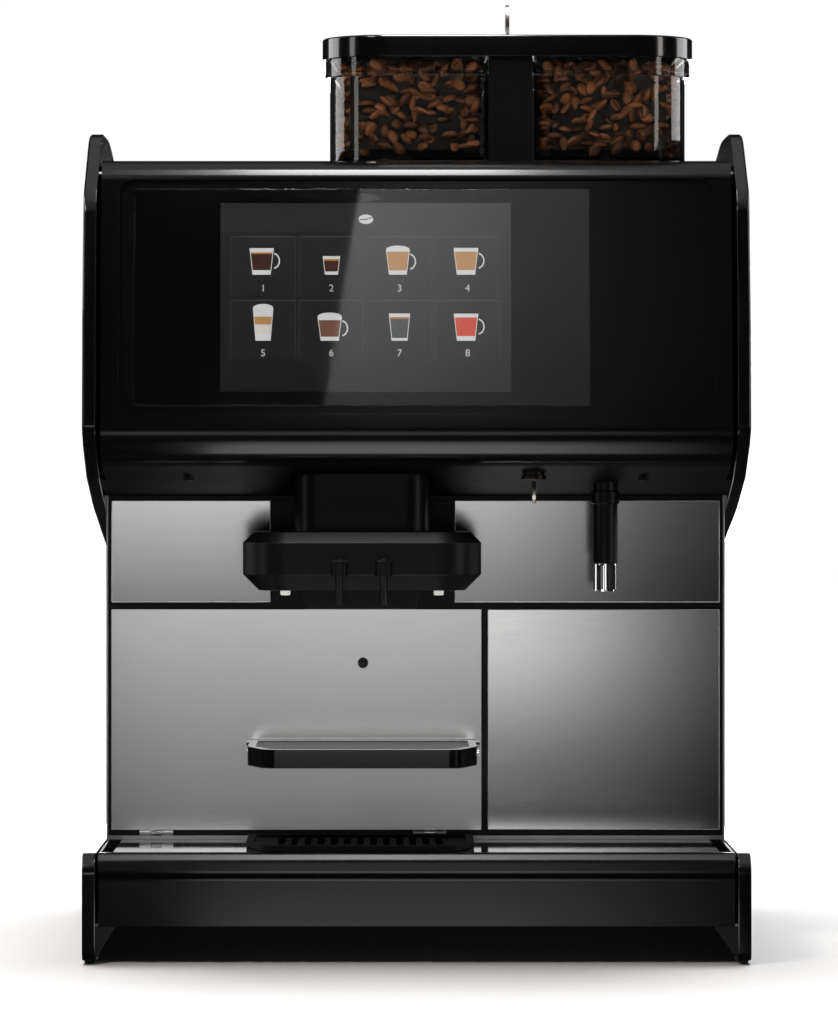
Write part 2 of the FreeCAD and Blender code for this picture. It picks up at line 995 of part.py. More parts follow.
neck_x = (neck.left, neck.right)
neck_y = (deep(neck.set), deep(neck.back))
neck_outer = oblong("neck_outer", neck_x, neck_y, (spout.top, neck.top), neck.corner, neck.corner)
neck_inner = oblong(
    "neck_inner",
    shrunk(neck_x, neck.wall),
    shrunk(neck_y, neck.wall),
    (spout.top - case.over, neck.top - neck.carriage),
    neck.corner - neck.wall,
    neck.corner - neck.wall,
)
rail = Sizes("rail", radius=4, inset=16, back_inset=14, low=356, top=560, plate=4)
rail_at = [
    (neck.left + rail.inset, deep(neck.back) - rail.back_inset),
    (neck.right - rail.inset, deep(neck.back) - rail.back_inset),
]
rail_bores = [
    rod(
        f"rail_bore{n}",
        "z",
        (x, y, neck.top - neck.carriage - case.over),
        rail.radius + case.running,
        neck.carriage + case.over * 2,
    )
    for n, (x, y) in enumerate(rail_at)
]
hose_bore = rod(
    "hose_bore",
    "z",
    ((neck.left + neck.right) / 2, deep(neck.set) + rail.inset, neck.top - neck.carriage - case.over),
    rail.radius * 2,
    neck.carriage + case.over * 2,
)
node("spout_neck", cut("spout_neck", neck_outer, neck_inner, hose_bore, *rail_bores))
rails = [
    rod(f"rail{n}", "z", (x, y, rail.low), rail.radius, rail.top - rail.low)
    for n, (x, y) in enumerate(rail_at)
]
rail_plate = block(
    "rail_plate",
    neck_x,
    (rail_at[0][1] - rail.radius * 2, frame_back),
    (rail.top - rail.plate, rail.top),
)
rail_foot = block(
    "rail_foot",
    neck_x,
    (frame_back - face.frame, frame_back),
    (rail.top - rail.plate, face.head_top),
)
node("spout_guide_rails", joined("spout_guide_rails", *rails, rail_plate, rail_foot))

# ---------------------------------------------------------------- cup shelf and service door
shelf = Sizes(
    "shelf",
    left=-127.6,
    right=46,
    front_inset=13.5,
    set=5,
    widest=50,
    low=146.6,
    top=160.7,
    axis_set=142,
    axis=154,
    back=4.3,
    pin=3,
    bracket=3,
    bracket_gap=0.6,
    bracket_round=5,
    rim=6,
    mat_deep=2.2,
    mat=1.6,
    side_round=26,
    front_round=12,
    bumper_x=-40.8,
    bumper_z=220,
    bumper=4,
    bumper_set=147.5,
    stem=2,
    pocket=9,
)
axis_y = deep(shelf.axis_set)


def cup_rest(name, x, y, inset, corner, z):
    """A slab with a straight back whose front corners are drawn in and rounded."""
    corners = [
        (x[0], y[1]),
        (x[0], corner),
        (x[0] + inset, y[0]),
        (x[1] - inset, y[0]),
        (x[1], corner),
        (x[1], y[1]),
    ]
    return prism(name, "XY", corners, z[0], z[1], [((1, 4), shelf.side_round), ((2, 3), shelf.front_round)])


shelf_x = (shelf.left, shelf.right)
shelf_y = (deep(shelf.set), axis_y + shelf.back)
shelf_solid = cup_rest(
    "shelf_solid", shelf_x, shelf_y, shelf.front_inset, deep(shelf.widest), (shelf.low, shelf.top)
)
mat_x = shrunk(shelf_x, shelf.rim)
mat_y = (shelf_y[0] + shelf.rim, axis_y - shelf.rim * 1.5)
mat_low = shelf.top - shelf.mat_deep
mat_room = cup_rest(
    "mat_room", mat_x, mat_y, shelf.front_inset, deep(shelf.widest), (mat_low, shelf.top + case.over)
)
under_room = cup_rest(
    "under_room", mat_x, mat_y, shelf.front_inset, deep(shelf.widest), (
        shelf.low - case.over, shelf.low + shelf.pocket
    )
)
shelf_bore = rod(
    "shelf_bore",
    "x",
    (shelf.left - case.over, axis_y, shelf.axis),
    shelf.pin + case.running,
    shelf.right - shelf.left + case.over * 2,
)
node("cup_shelf", cut("cup_shelf", shelf_solid, mat_room, under_room, shelf_bore))
node(
    "shelf_mat",
    cup_rest(
        "shelf_mat", mat_x, mat_y, shelf.front_inset, deep(shelf.widest), (mat_low, mat_low + shelf.mat)
    ),
)
bracket_x = (
    (shelf.left - shelf.bracket_gap - shelf.bracket, shelf.left - shelf.bracket_gap),
    (shelf.right + shelf.bracket_gap, shelf.right + shelf.bracket_gap + shelf.bracket),
)
pivot_pieces = [
    rod(
        "shelf_rod",
        "x",
        (bracket_x[0][0], axis_y, shelf.axis),
        shelf.pin,
        bracket_x[1][1] - bracket_x[0][0],
    )
]
for n, x in enumerate(bracket_x):
    pivot_pieces.append(
        prism(
            f"shelf_bracket{n}",
            "YZ",
            [
                (axis_y - shelf.bracket_round, shelf.axis - shelf.bracket_round),
                (panel, shelf.axis - shelf.bracket_round),
                (panel, shelf.axis + shelf.bracket_round),
                (axis_y - shelf.bracket_round, shelf.axis + shelf.bracket_round),
            ],
            x[0],
            x[1],
            [((0, 3), shelf.bracket_round * 0.9)],
        )
    )
node("shelf_pivot", joined("shelf_pivot", *pivot_pieces))
bumper_at = (shelf.bumper_x, deep(shelf.bumper_set), shelf.bumper_z)
node(
    "shelf_bumper",
    joined(
        "shelf_bumper",
        ball("bumper_ball", bumper_at, shelf.bumper),
        rod("bumper_stem", "y", bumper_at, shelf.stem, panel - bumper_at[1]),
    ),
)

door = Sizes("door", lining=15, lining_gap=2, wall=1.5)
door_skin = block("door_skin", door_x, (panel, panel + case.sheet), lower_z)
lining_x = shrunk(door_x, face.opening_inset + door.lining_gap)
lining_z = shrunk(lower_z, face.opening_inset + door.lining_gap)
lining_y = (panel + case.sheet, panel + case.sheet + door.lining)
lining = block("door_lining_solid", lining_x, lining_y, lining_z)
lining_room = block(
    "door_lining_room",
    shrunk(lining_x, door.wall),
    (lining_y[0] - case.over, lining_y[1] + case.over),
    shrunk(lining_z, door.wall),
)
node(
    "service_door",
    joined("service_door", door_skin, cut("door_lining", lining, lining_room), *door_knuckles),
)

# ---------------------------------------------------------------- grounds drawer
drawer = Sizes("drawer", tub_gap=3, wall=2, deep=280, top=240)
deck = Sizes("deck", lower=95.5, thick=2, upper=478)
node(
    "drawer_front",
    block("drawer_front", drawer_x, (panel, panel + case.sheet), lower_z),
)
tub_x = shrunk(drawer_x, face.opening_inset + drawer.tub_gap)
tub_y = (panel + case.sheet, panel + case.sheet + drawer.deep)
tub_low = deck.lower + case.gap * 2
tub = block("tub_solid", tub_x, tub_y, (tub_low, drawer.top))
tub_room = block(
    "tub_room",
    shrunk(tub_x, drawer.wall),
    shrunk(tub_y, drawer.wall),
    (tub_low + drawer.wall, drawer.top + case.over),
)
node("grounds_tub", cut("grounds_tub", tub, tub_room))

# ---------------------------------------------------------------- drip tray
tray = Sizes(
    "tray",
    side_gap=2,
    face_set=4,
    nose_set=0.6,
    face_top=64,
    nose_low=69,
    nose_top=78,
    top=83.5,
    thick=12,
    low=28.5,
    back=146,
    lip=10.5,  # drain gap beside the sheet, wall included
    tub_low=31,
    wall=2,
    sheet=1.5,
    nose_round=5,
)
tray_half = inner - tray.side_gap
tray_outline = [
    (deep(tray.face_set), tray.low),
    (deep(tray.face_set), tray.face_top),
    (deep(tray.nose_set), tray.nose_low),
    (deep(tray.nose_set), tray.nose_top),
    (deep(tray.face_set) + tray.wall, tray.top),
    (deep(tray.thick), tray.top),
    (deep(tray.thick), tray.low),
]
node(
    "tray_front",
    prism(
        "tray_front",
        "YZ",
        tray_outline,
        -tray_half,
        tray_half,
        [((2, 3, 4), tray.nose_round), ((1,), tray.nose_round)],
    ),
)
sheet_half = tray_half - tray.lip
tray_y = (deep(tray.thick), deep(tray.back))
tray_box = block("tray_box", (-tray_half, tray_half), tray_y, (tray.tub_low, tray.top))
tray_room = block(
    "tray_room",
    (-tray_half + tray.wall, tray_half - tray.wall),
    shrunk(tray_y, tray.wall),
    (tray.tub_low + tray.wall, tray.top + case.over),
)
sheet_seat = block(
    "sheet_seat",
    (-sheet_half, sheet_half),
    shrunk(tray_y, tray.sheet),
    (tray.top - tray.sheet, tray.top + case.over),
)
node("tray_tub", cut("tray_tub", tray_box, tray_room, sheet_seat))
grid = Sizes(
    "grid",
    left=-129,
    right=44,
    set=18,
    back=138,
    widest=62,
    rim=5,
    high=4.5,
    lift=0.3,
    body=5,
    slot=5,
    slot_step=10,
    slot_end=16,
)
grid_x = (grid.left, grid.right)
grid_y = (deep(grid.set), deep(grid.back))
hole_x = shrunk(grid_x, grid.rim)
hole_y = shrunk(grid_y, grid.rim)
grid_low = tray.top + grid.lift
corner_y = deep(grid.widest)
tray_sheet = block(
    "tray_sheet", (-sheet_half, sheet_half), shrunk(tray_y, tray.sheet), (tray.top - tray.sheet, tray.top)
)
sheet_hole = cup_rest(
    "sheet_hole",
    hole_x,
    hole_y,
    shelf.front_inset,
    corner_y,
    (tray.top - tray.sheet - case.over, tray.top + case.over),
)
node("tray_top", cut("tray_top", tray_sheet, sheet_hole))
grid_rim = cup_rest(
    "grid_rim", grid_x, grid_y, shelf.front_inset, corner_y, (grid_low, grid_low + grid.high)
)
grid_body = cup_rest(
    "grid_body",
    shrunk(hole_x, case.gap),
    shrunk(hole_y, case.gap),
    shelf.front_inset,
    corner_y,
    (grid_low - grid.body, grid_low + grid.high / 2),
)
dish = cup_rest(
    "grid_dish", shrunk(hole_x, grid.rim / 4), shrunk(hole_y, grid.rim / 4), shelf.front_inset, corner_y, (
        grid_low + grid.high / 2, grid_low + grid.high + case.over
    )
)
slots = []
for n in range(-6, 7):
    middle = (grid.left + grid.right) / 2 + grid.slot_step * n
    slots.append(
        block(
            f"grid_slot{n + 6}",
            (middle - grid.slot / 2, middle + grid.slot / 2),
            (grid_y[0] + grid.slot_end, grid_y[1] - grid.slot_end),
            (grid_low - grid.body - case.over, grid_low + grid.high + case.over),
        )
    )
node("drip_grid", cut("drip_grid", joined("grid_solid", grid_rim, grid_body), dish, *slots))

# ---------------------------------------------------------------- bean hopper
hopper = Sizes(
    "hopper",
    middle=71.5,
    half_low=138,
    half_top=141.5,
    set=120,
    deep=220,
    base_top=608,
    ledge=674,
    top=692,
    wall=3,
    corner=44,
    pillar_left=56,
    pillar_right=89.5,
    fill_top=672,
    fill_gap=0.5,
    floor=3,
)
hopper_y = (deep(hopper.set), deep(hopper.set + hopper.deep))
low_x = (hopper.middle - hopper.half_low, hopper.middle + hopper.half_low)
top_x = (hopper.middle - hopper.half_top, hopper.middle + hopper.half_top)
flare = hopper.half_top - hopper.half_low
top_y = shrunk(hopper_y, -flare)
gate = Sizes("gate", wide=44, thick=1.6, low=605, play=0.3, front=30, tab=3, tab_high=14, tab_out=10)
hopper_outer = joined(
    "hopper_outer",
    oblong(
        "hopper_lower_outer", low_x, hopper_y, (hopper.base_top, hopper.ledge), hopper.corner, hopper.corner
    ),
    oblong(
        "hopper_upper_outer",
        top_x,
        top_y,
        (hopper.ledge, hopper.top),
        hopper.corner + flare,
        hopper.corner + flare,
    ),
)
hopper_inner = joined(
    "hopper_inner",
    oblong(
        "hopper_lower_inner",
        shrunk(low_x, hopper.wall),
        shrunk(hopper_y, hopper.wall),
        (hopper.base_top + hopper.floor, hopper.ledge + hopper.wall),
        hopper.corner - hopper.wall,
        hopper.corner - hopper.wall,
    ),
    oblong(
        "hopper_upper_inner",
        shrunk(top_x, hopper.wall),
        shrunk(top_y, hopper.wall),
        (hopper.ledge + hopper.wall, hopper.top + case.over),
        hopper.corner + flare - hopper.wall,
        hopper.corner + flare - hopper.wall,
    ),
)
hopper_band = (hopper.base_top - case.over, hopper.top + case.over * 2)
wide_y = shrunk(hopper_y, -hopper.corner)
halves = {
    "left": (top_x[0] - case.over, hopper.pillar_left, bean.left_x),
    "right": (hopper.pillar_right, top_x[1] + case.over, bean.right_x),
}
fills = []
for side, (low, high, hole_at) in halves.items():
    outer = common(
        f"hopper_{side}_outer", hopper_outer, block(f"{side}_outer_half", (low, high), wide_y, hopper_band)
    )
    wall_low = low if side == "left" else low + hopper.wall
    wall_high = high - hopper.wall if side == "left" else high
    room = common(
        f"hopper_{side}_room", hopper_inner, block(
            f"{side}_inner_half", (wall_low, wall_high), wide_y, hopper_band
        )
    )
    hole = rod(
        f"hopper_{side}_hole",
        "z",
        (hole_at, bean_y, hopper.base_top - case.over),
        bean.hole,
        hopper.floor + case.over * 2,
    )
    node("hopper_" + side, cut("hopper_" + side, outer, room, hole))
    inset = hopper.wall + hopper.fill_gap
    fill_low = low if side == "left" else low + inset
    fill_high = high - inset if side == "left" else high
    fill_solid = oblong(
        f"fill_{side}_solid",
        shrunk(low_x, inset),
        shrunk(hopper_y, inset),
        (hopper.base_top + hopper.floor + hopper.fill_gap, hopper.fill_top),
        hopper.corner - inset,
        hopper.corner - inset,
    )
    fills.append(
        common(
            "fill_" + side,
            fill_solid,
            block(f"fill_{side}_half", (fill_low, fill_high), wide_y, hopper_band),
        )
    )
node("coffee_beans", group("coffee_beans", *fills))

base_plate = oblong(
    "hopper_plate", low_x, hopper_y, (case.cover_top, hopper.base_top), hopper.corner, hopper.corner
)
pillar = block(
    "hopper_pillar", (hopper.pillar_left, hopper.pillar_right), hopper_y, (hopper.base_top, hopper.top)
)
pillar_room = block(
    "pillar_room",
    shrunk((hopper.pillar_left, hopper.pillar_right), hopper.wall),
    shrunk(hopper_y, hopper.wall),
    (hopper.base_top + hopper.floor, hopper.top + case.over),
)
base_cuts = [pillar_room]
for side, x in (("left", bean.left_x), ("right", bean.right_x)):
    plate_x = (x - gate.wide / 2, x + gate.wide / 2)
    gate_y = (bean_y - gate.front, hopper_y[1])
    plate_z = (gate.low, gate.low + gate.thick)
    base_cuts.append(
        block(
            f"gate_{side}_slot",
            shrunk(plate_x, -gate.play),
            (gate_y[0] - gate.play, gate_y[1] + case.over),
            shrunk(plate_z, -gate.play),
        )
    )
    base_cuts.append(
        rod(
            f"base_hole_{side}",
            "z",
            (x, bean_y, case.cover_top - case.over),
            bean.hole,
            hopper.base_top - case.cover_top + case.over * 2,
        )
    )
    tab_y = hopper_y[1] + flare + gate.tab
    gate_solid = joined(
        f"gate_{side}_solid",
        block(f"gate_{side}_plate", plate_x, (gate_y[0], tab_y + gate.tab_out), plate_z),
        block(
            f"gate_{side}_tab",
            plate_x,
            (tab_y + gate.tab_out - gate.tab, tab_y + gate.tab_out),
            (gate.low, gate.low + gate.tab_high),
        ),
    )
    gate_hole = rod(
        f"gate_{side}_hole", "z", (x, bean_y, gate.low - case.over), bean.hole, gate.thick + case.over * 2
    )
    node("bean_gate_" + side, cut("bean_gate_" + side, gate_solid, gate_hole))
node("hopper_base", cut("hopper_base", joined("hopper_base_solid", base_plate, pillar), *base_cuts))

lid = Sizes(
    "lid", wall=1.8, play=0.5, low=688, top=704.6, inset=5, roof=3, lock_set=165, lock_high=1.6, bow=12.5
)
lid_in_x = shrunk(top_x, -lid.play)
lid_in_y = shrunk(top_y, -lid.play)
lid_corner = hopper.corner + flare + lid.play
lid_outer = oblong(
    "lid_outer",
    shrunk(lid_in_x, -lid.wall),
    shrunk(lid_in_y, -lid.wall),
    (lid.low, lid.top),
    lid_corner + lid.wall,
    lid_corner + lid.wall,
)
dress(lid_outer, "Fillet", at_height(lid.top), Radius=lid.wall)
lid_room = oblong(
    "lid_room", lid_in_x, lid_in_y, (lid.low - case.over, hopper.top + lid.play), lid_corner, lid_corner
)
lid_hollow = oblong(
    "lid_hollow",
    shrunk(lid_in_x, lid.inset),
    shrunk(lid_in_y, lid.inset),
    (hopper.top, lid.top - lid.roof),
    lid_corner - lid.inset,
    lid_corner - lid.inset,
)
lid_lock_y = deep(lid.lock_set)
lid_lock_low = hopper.top + lid.play
lid_lock_hole = rod(
    "lid_lock_hole", "z", (hopper.middle, lid_lock_y, lid_lock_low), lock.barrel, lid.top - lid_lock_low + case.over
)
node("hopper_lid", cut("hopper_lid", lid_outer, lid_room, lid_hollow, lid_lock_hole))
lid_flange = (lid.top, lid.top + lid.lock_high)
node(
    "lid_lock",
    cam_lock("lid_lock", hopper.middle, lid_lock_y, lid_flange, lid_lock_low, lid_lock_low - case.over),
)
lid_bow_z = lid_flange[1] + lock.clear + lid.bow
lid_half_thick = lock.bow_thick / 2
lid_key_solid = joined(
    "lid_key_solid",
    rod(
        "lid_key_bow", "x", (hopper.middle - lid_half_thick, lid_lock_y, lid_bow_z), lid.bow, lock.bow_thick
    ),
    block(
        "lid_key_blade",
        (hopper.middle - lock.blade / 2, hopper.middle + lock.blade / 2),
        (lid_lock_y - lock.blade_wide / 2, lid_lock_y + lock.blade_wide / 2),
        (lid_lock_low + lock.clear, lid_bow_z),
    ),
)
lid_ring = rod(
    "lid_key_ring_hole",
    "x",
    (hopper.middle - lid_half_thick - case.over, lid_lock_y, lid_bow_z + lid.bow / 2),
    lock.bow_hole,
    lock.bow_thick + case.over * 2,
)
node("lid_key", cut("lid_key", lid_key_solid, lid_ring))

# ---------------------------------------------------------------- inner decks and works
deck_y = (frame_back, rear - case.sheet)
upper_deck = block("upper_deck", (-shell, shell), deck_y, (deck.upper, deck.upper + deck.thick))
lower_deck = block("lower_deck", (-shell, shell), deck_y, (deck.lower - deck.thick, deck.lower))
node("inner_decks", group("inner_decks", upper_deck, lower_deck))

mill = Sizes(
    "mill",
    radius=36,
    bore=24,
    floor=515,
    burr=23,
    burr_high=20,
    cone=9,
    cone_high=14,
    shaft=5,
    shaft_low=495,
    rise=1,
)
mills = []
for side, x in (("left", bean.left_x), ("right", bean.right_x)):
    low = deck.upper + deck.thick
    solid = rod(f"mill_{side}_solid", "z", (x, bean_y, low), mill.radius, case.cover_under - low)
    bore = rod(
        f"mill_{side}_bore",
        "z",
        (x, bean_y, mill.floor),
        mill.bore,
        case.cover_under - mill.floor + case.over,
    )
    well = rod(
        f"mill_{side}_well",
        "z",
        (x, bean_y, mill.shaft_low - mill.rise),
        mill.shaft + case.running,
        mill.floor - mill.shaft_low + case.over * 2,
    )
    mills.append(cut(f"mill_{side}", solid, bore, well))
    burr_low = mill.floor + mill.rise
    rotor = joined(
        f"burr_{side}",
        rod(
            f"burr_{side}_shaft",
            "z",
            (x, bean_y, mill.shaft_low),
            mill.shaft,
            burr_low - mill.shaft_low + case.over,
        ),
        rod(f"burr_{side}_ring", "z", (x, bean_y, burr_low), mill.burr, mill.burr_high, mill.cone * 2),
        rod(
            f"burr_{side}_cone",
            "z",
            (x, bean_y, burr_low + mill.burr_high),
            mill.cone,
            mill.cone_high,
            mill.cone / 3,
        ),
    )
    node("burr_" + side, rotor)
node("grinders", group("grinders", *mills))

brew = Sizes(
    "brew",
    x=72,
    set=250,
    half=40,
    post=6,
    low=300,
    top=470,
    beam=8,
    cup=26,
    bore=20,
    cup_top=368,
    cup_floor=8,
    piston_low=342,
    piston_high=16,
    stem=8,
    stem_top=476,
)
brew_y = deep(brew.set)
brew_x = (brew.x - brew.half, brew.x + brew.half)
brew_deep = (brew_y - brew.half, brew_y + brew.half)
posts = [
    block("brew_post_left", (brew_x[0], brew_x[0] + brew.post), brew_deep, (brew.low, brew.top)),
    block("brew_post_right", (brew_x[1] - brew.post, brew_x[1]), brew_deep, (brew.low, brew.top)),
    block("brew_beam_low", brew_x, brew_deep, (brew.low, brew.low + brew.beam)),
    block("brew_beam_top", brew_x, brew_deep, (brew.top - brew.beam, brew.top)),
    block(
        "brew_arm", brew_x, (brew_deep[1] - brew.post, rear - case.sheet), (brew.low, brew.low + brew.beam)
    ),
]
stem_bore = rod(
    "stem_bore",
    "z",
    (brew.x, brew_y, brew.cup_top),
    brew.stem + case.running,
    brew.top - brew.cup_top + case.over,
)
node("brew_frame", cut("brew_frame", joined("brew_frame_solid", *posts), stem_bore))
cup_solid = rod(
    "cup_solid", "z", (brew.x, brew_y, brew.low + brew.beam), brew.cup, brew.cup_top - brew.low - brew.beam
)
cup_bore = rod(
    "cup_bore", "z", (brew.x, brew_y, brew.low + brew.beam + brew.cup_floor), brew.bore, brew.cup_top
)
node("brew_cylinder", cut("brew_cylinder", cup_solid, cup_bore))
node(
    "brew_piston",
    joined(
        "brew_piston",
        rod(
            "piston_head",
            "z",
            (brew.x, brew_y, brew.piston_low),
            brew.bore - case.running,
            brew.piston_high,
        ),
        rod(
            "piston_stem",
            "z",
            (brew.x, brew_y, brew.piston_low),
            brew.stem,
            brew.stem_top - brew.piston_low,
        ),
    ),
)

works = Sizes(
    "works",
    boiler_x=-150,
    boiler_set=340,
    boiler=52,
    boiler_high=165,
    boiler_round=18,
    pump_x=-30,
    pump_z=130,
    pump=24,
    pump_set=260,
    pump_long=150,
    pump_foot=15,
    board_off=8,
    board=1.6,
    board_set=300,
    board_long=180,
    board_low=300,
    board_high=150,
    spacer=3,
    supply_x=-90,
    supply_wide=120,
    supply_low=400,
    supply_high=60,
    supply_deep=60,
)
boiler_body = doc.addObject("PartDesign::Body", "boiler")
boiler_drum = boiler_body.newObject("PartDesign::AdditiveCylinder", "boiler_drum")
bind(boiler_drum, "Radius", works.boiler)
bind(boiler_drum, "Height", works.boiler_high)
dress(boiler_body, "Fillet", lambda edge: len(edge.Vertexes) == 1, Radius=works.boiler_round)
for axis, place in zip("xyz", (works.boiler_x, deep(works.boiler_set), deck.lower)):
    bind(boiler_body, "Placement.Base." + axis, place)
node("boiler", boiler_body)
pump_y = deep(works.pump_set)
node(
    "water_pump",
    joined(
        "water_pump",
        rod("pump_drum", "y", (works.pump_x, pump_y, works.pump_z), works.pump, works.pump_long),
        block(
            "pump_foot",
            (works.pump_x - works.pump_foot, works.pump_x + works.pump_foot),
            (pump_y + works.pump_foot, pump_y + works.pump_long - works.pump_foot),
            (deck.lower, works.pump_z),
        ),
    ),
)
board_x = -shell + works.board_off
board_y = (deep(works.board_set), deep(works.board_set + works.board_long))
board_z = (works.board_low, works.board_low + works.board_high)
board_pieces = [block("board_sheet", (board_x, board_x + works.board), board_y, board_z)]
chip_rows = ((0.2, 0.3, 8), (0.5, 0.3, 14), (0.75, 0.4, 10), (0.3, 0.7, 12), (0.7, 0.75, 8))
for n, (along, up, high) in enumerate(chip_rows):
    middle = (board_y[0] + works.board_long * along, works.board_low + works.board_high * up)
    chip = works.spacer * 4
    board_pieces.append(
        block(
            f"board_chip{n}",
            (board_x, board_x + works.board + high),
            (middle[0] - chip, middle[0] + chip),
            (middle[1] - chip, middle[1] + chip),
        )
    )
for n, (along, up) in enumerate(((0.05, 0.06), (0.95, 0.06), (0.05, 0.94), (0.95, 0.94))):
    at = (-shell, board_y[0] + works.board_long * along, works.board_low + works.board_high * up)
    board_pieces.append(rod(f"board_spacer{n}", "x", at, works.spacer, works.board_off + works.board))
supply = block(
    "power_supply",
    (works.supply_x - works.supply_wide / 2, works.supply_x + works.supply_wide / 2),
    (rear - case.sheet - works.supply_deep, rear - case.sheet),
    (works.supply_low, works.supply_low + works.supply_high),
)
node("electronics", group("electronics", joined("control_board", *board_pieces), supply))

pipe = Sizes(
    "pipe",
    out=16,  # free length behind the rear panel
    relief=1,  # groove between flange and free length
    relief_deep=1,
    flange=2.5,
    flange_radius=14,
    inlet_in=50,
    inlet=8.3,
    inlet_bore=5,
    drain_in=30,
    drain=9,
    drain_bore=6.5,
)


def fitting(name, x, z, hole, radius, bore, depth, bore_depth):
    """A turned fitting through the rear panel: body inside, flange and free end outside."""
    inside = rear - case.sheet
    flange_end = rear + pipe.flange
    tip = flange_end + pipe.relief + pipe.out
    solid = joined(
        name + "_solid",
        rod(name + "_body", "y", (x, rear - depth, z), pipe.flange_radius, inside - rear + depth),
        rod(name + "_neck", "y", (x, inside, z), hole, case.sheet),
        rod(name + "_flange", "y", (x, rear, z), pipe.flange_radius, pipe.flange),
        rod(name + "_relief", "y", (x, flange_end, z), radius - pipe.relief_deep, pipe.relief),
        rod(name + "_end", "y", (x, flange_end + pipe.relief, z), radius, pipe.out),
    )
    return cut(
        name, solid, rod(name + "_bore", "y", (x, tip - bore_depth, z), bore, bore_depth + case.over)
    )


tip_reach = pipe.flange + pipe.relief + pipe.out
inlet_stub = fitting(
    "inlet_stub",
    rear_holes.valve_x,
    rear_holes.valve_z,
    rear_holes.valve,
    pipe.inlet,
    pipe.inlet_bore,
    pipe.inlet_in,
    tip_reach + pipe.inlet_in / 2,
)
drain_stub = fitting(
    "drain_stub",
    rear_holes.drain_x,
    rear_holes.drain_z,
    rear_holes.drain,
    pipe.drain,
    pipe.drain_bore,
    pipe.drain_in,
    tip_reach + pipe.drain_in + case.over,
)
node("water_fittings", group("water_fittings", inlet_stub, drain_stub))

socket = Sizes(
    "socket",
    deep=22,
    flange=3,
    flange_wide=4,
    cup_wide=25,
    cup_high=17,
    cup_deep=16,
    blade=1.2,
    blade_step=7.2,
    blade_high=5,
)
socket_x = (rear_holes.power_x - socket.cup_wide / 2, rear_holes.power_x + socket.cup_wide / 2)
socket_z = (rear_holes.power_z - socket.cup_high / 2, rear_holes.power_z + socket.cup_high / 2)
socket_back = rear + socket.flange
socket_solid = joined(
    "socket_solid",
    block("socket_body", power_x, (socket_back - socket.deep, socket_back), power_z),
    block(
        "socket_flange",
        shrunk(power_x, -socket.flange_wide),
        (rear, socket_back),
        shrunk(power_z, -socket.flange_wide),
    ),
)
socket_room = block(
    "socket_room", socket_x, (socket_back - socket.cup_deep, socket_back + case.over), socket_z
)
blades = [
    block(
        f"socket_blade{n}",
        (
            rear_holes.power_x + socket.blade_step * (n - 1),
            rear_holes.power_x + socket.blade_step * (n - 1) + socket.blade,
        ),
        (socket_back - socket.cup_deep - case.over, socket_back - socket.flange),
        (rear_holes.power_z - socket.blade_high / 2, rear_holes.power_z + socket.blade_high / 2),
    )
    for n in range(3)
]
node("power_inlet", joined("power_inlet", cut("socket_shell", socket_solid, socket_room), *blades))

fan = Sizes("fan", half=42, bore=38, deep=25, hub=14, blade_reach=36, blade=2, pin=3, strut=3, gap=2)
fan_back = rear - case.sheet
fan_front = fan_back - fan.deep
fan_x = (rear_holes.fan_x - fan.half, rear_holes.fan_x + fan.half)
fan_z = (rear_holes.fan_z - fan.half, rear_holes.fan_z + fan.half)
fan_box = block("fan_box", fan_x, (fan_front, fan_back), fan_z)
fan_duct = rod(
    "fan_duct",
    "y",
    (rear_holes.fan_x, fan_front - case.over, rear_holes.fan_z),
    fan.bore,
    fan.deep + case.over * 2,
)
strut_x = block(
    "fan_strut_x",
    fan_x,
    (fan_front, fan_front + fan.strut),
    (rear_holes.fan_z - fan.strut, rear_holes.fan_z + fan.strut),
)
strut_z = block(
    "fan_strut_z",
    (rear_holes.fan_x - fan.strut, rear_holes.fan_x + fan.strut),
    (fan_front, fan_front + fan.strut),
    fan_z,
)
fan_pin = rod("fan_pin", "y", (rear_holes.fan_x, fan_front, rear_holes.fan_z), fan.pin, fan.deep - fan.gap)
node("fan_housing", joined("fan_housing", cut("fan_ring", fan_box, fan_duct), strut_x, strut_z, fan_pin))
rotor_y = (fan_front + fan.strut + fan.gap, fan_back - fan.gap * 2)
rotor_hub = rod(
    "rotor_hub", "y", (rear_holes.fan_x, rotor_y[0], rear_holes.fan_z), fan.hub, rotor_y[1] - rotor_y[0]
)
vanes = []
for n in range(4):
    vane = doc.addObject("Part::Box", f"rotor_vane{n}")
    bind(vane, "Length", fan.blade_reach * 2)
    bind(vane, "Width", rotor_y[1] - rotor_y[0])
    bind(vane, "Height", fan.blade)
    turn = FreeCAD.Rotation(Vector(0, 1, 0), 45 * n)
    corner = Vector(-fan.blade_reach.value, 0, -fan.blade.value / 2)
    at = turn.multVec(corner)
    vane.Placement = FreeCAD.Placement(Vector(), turn)
    bind(vane, "Placement.Base.x", rear_holes.fan_x + fan.blade_reach * (at.x / fan.blade_reach.value))
    bind(vane, "Placement.Base.y", rotor_y[0])
    bind(vane, "Placement.Base.z", rear_holes.fan_z + fan.blade_reach * (at.z / fan.blade_reach.value))
    vanes.append(vane)
rotor_bore = rod(
    "rotor_bore",
    "y",
    (rear_holes.fan_x, rotor_y[0] - case.over, rear_holes.fan_z),
    fan.pin + case.running,
    rotor_y[1] - rotor_y[0] + case.over * 2,
)
node("fan_rotor", cut("fan_rotor", joined("rotor_solid", rotor_hub, *vanes), rotor_bore))

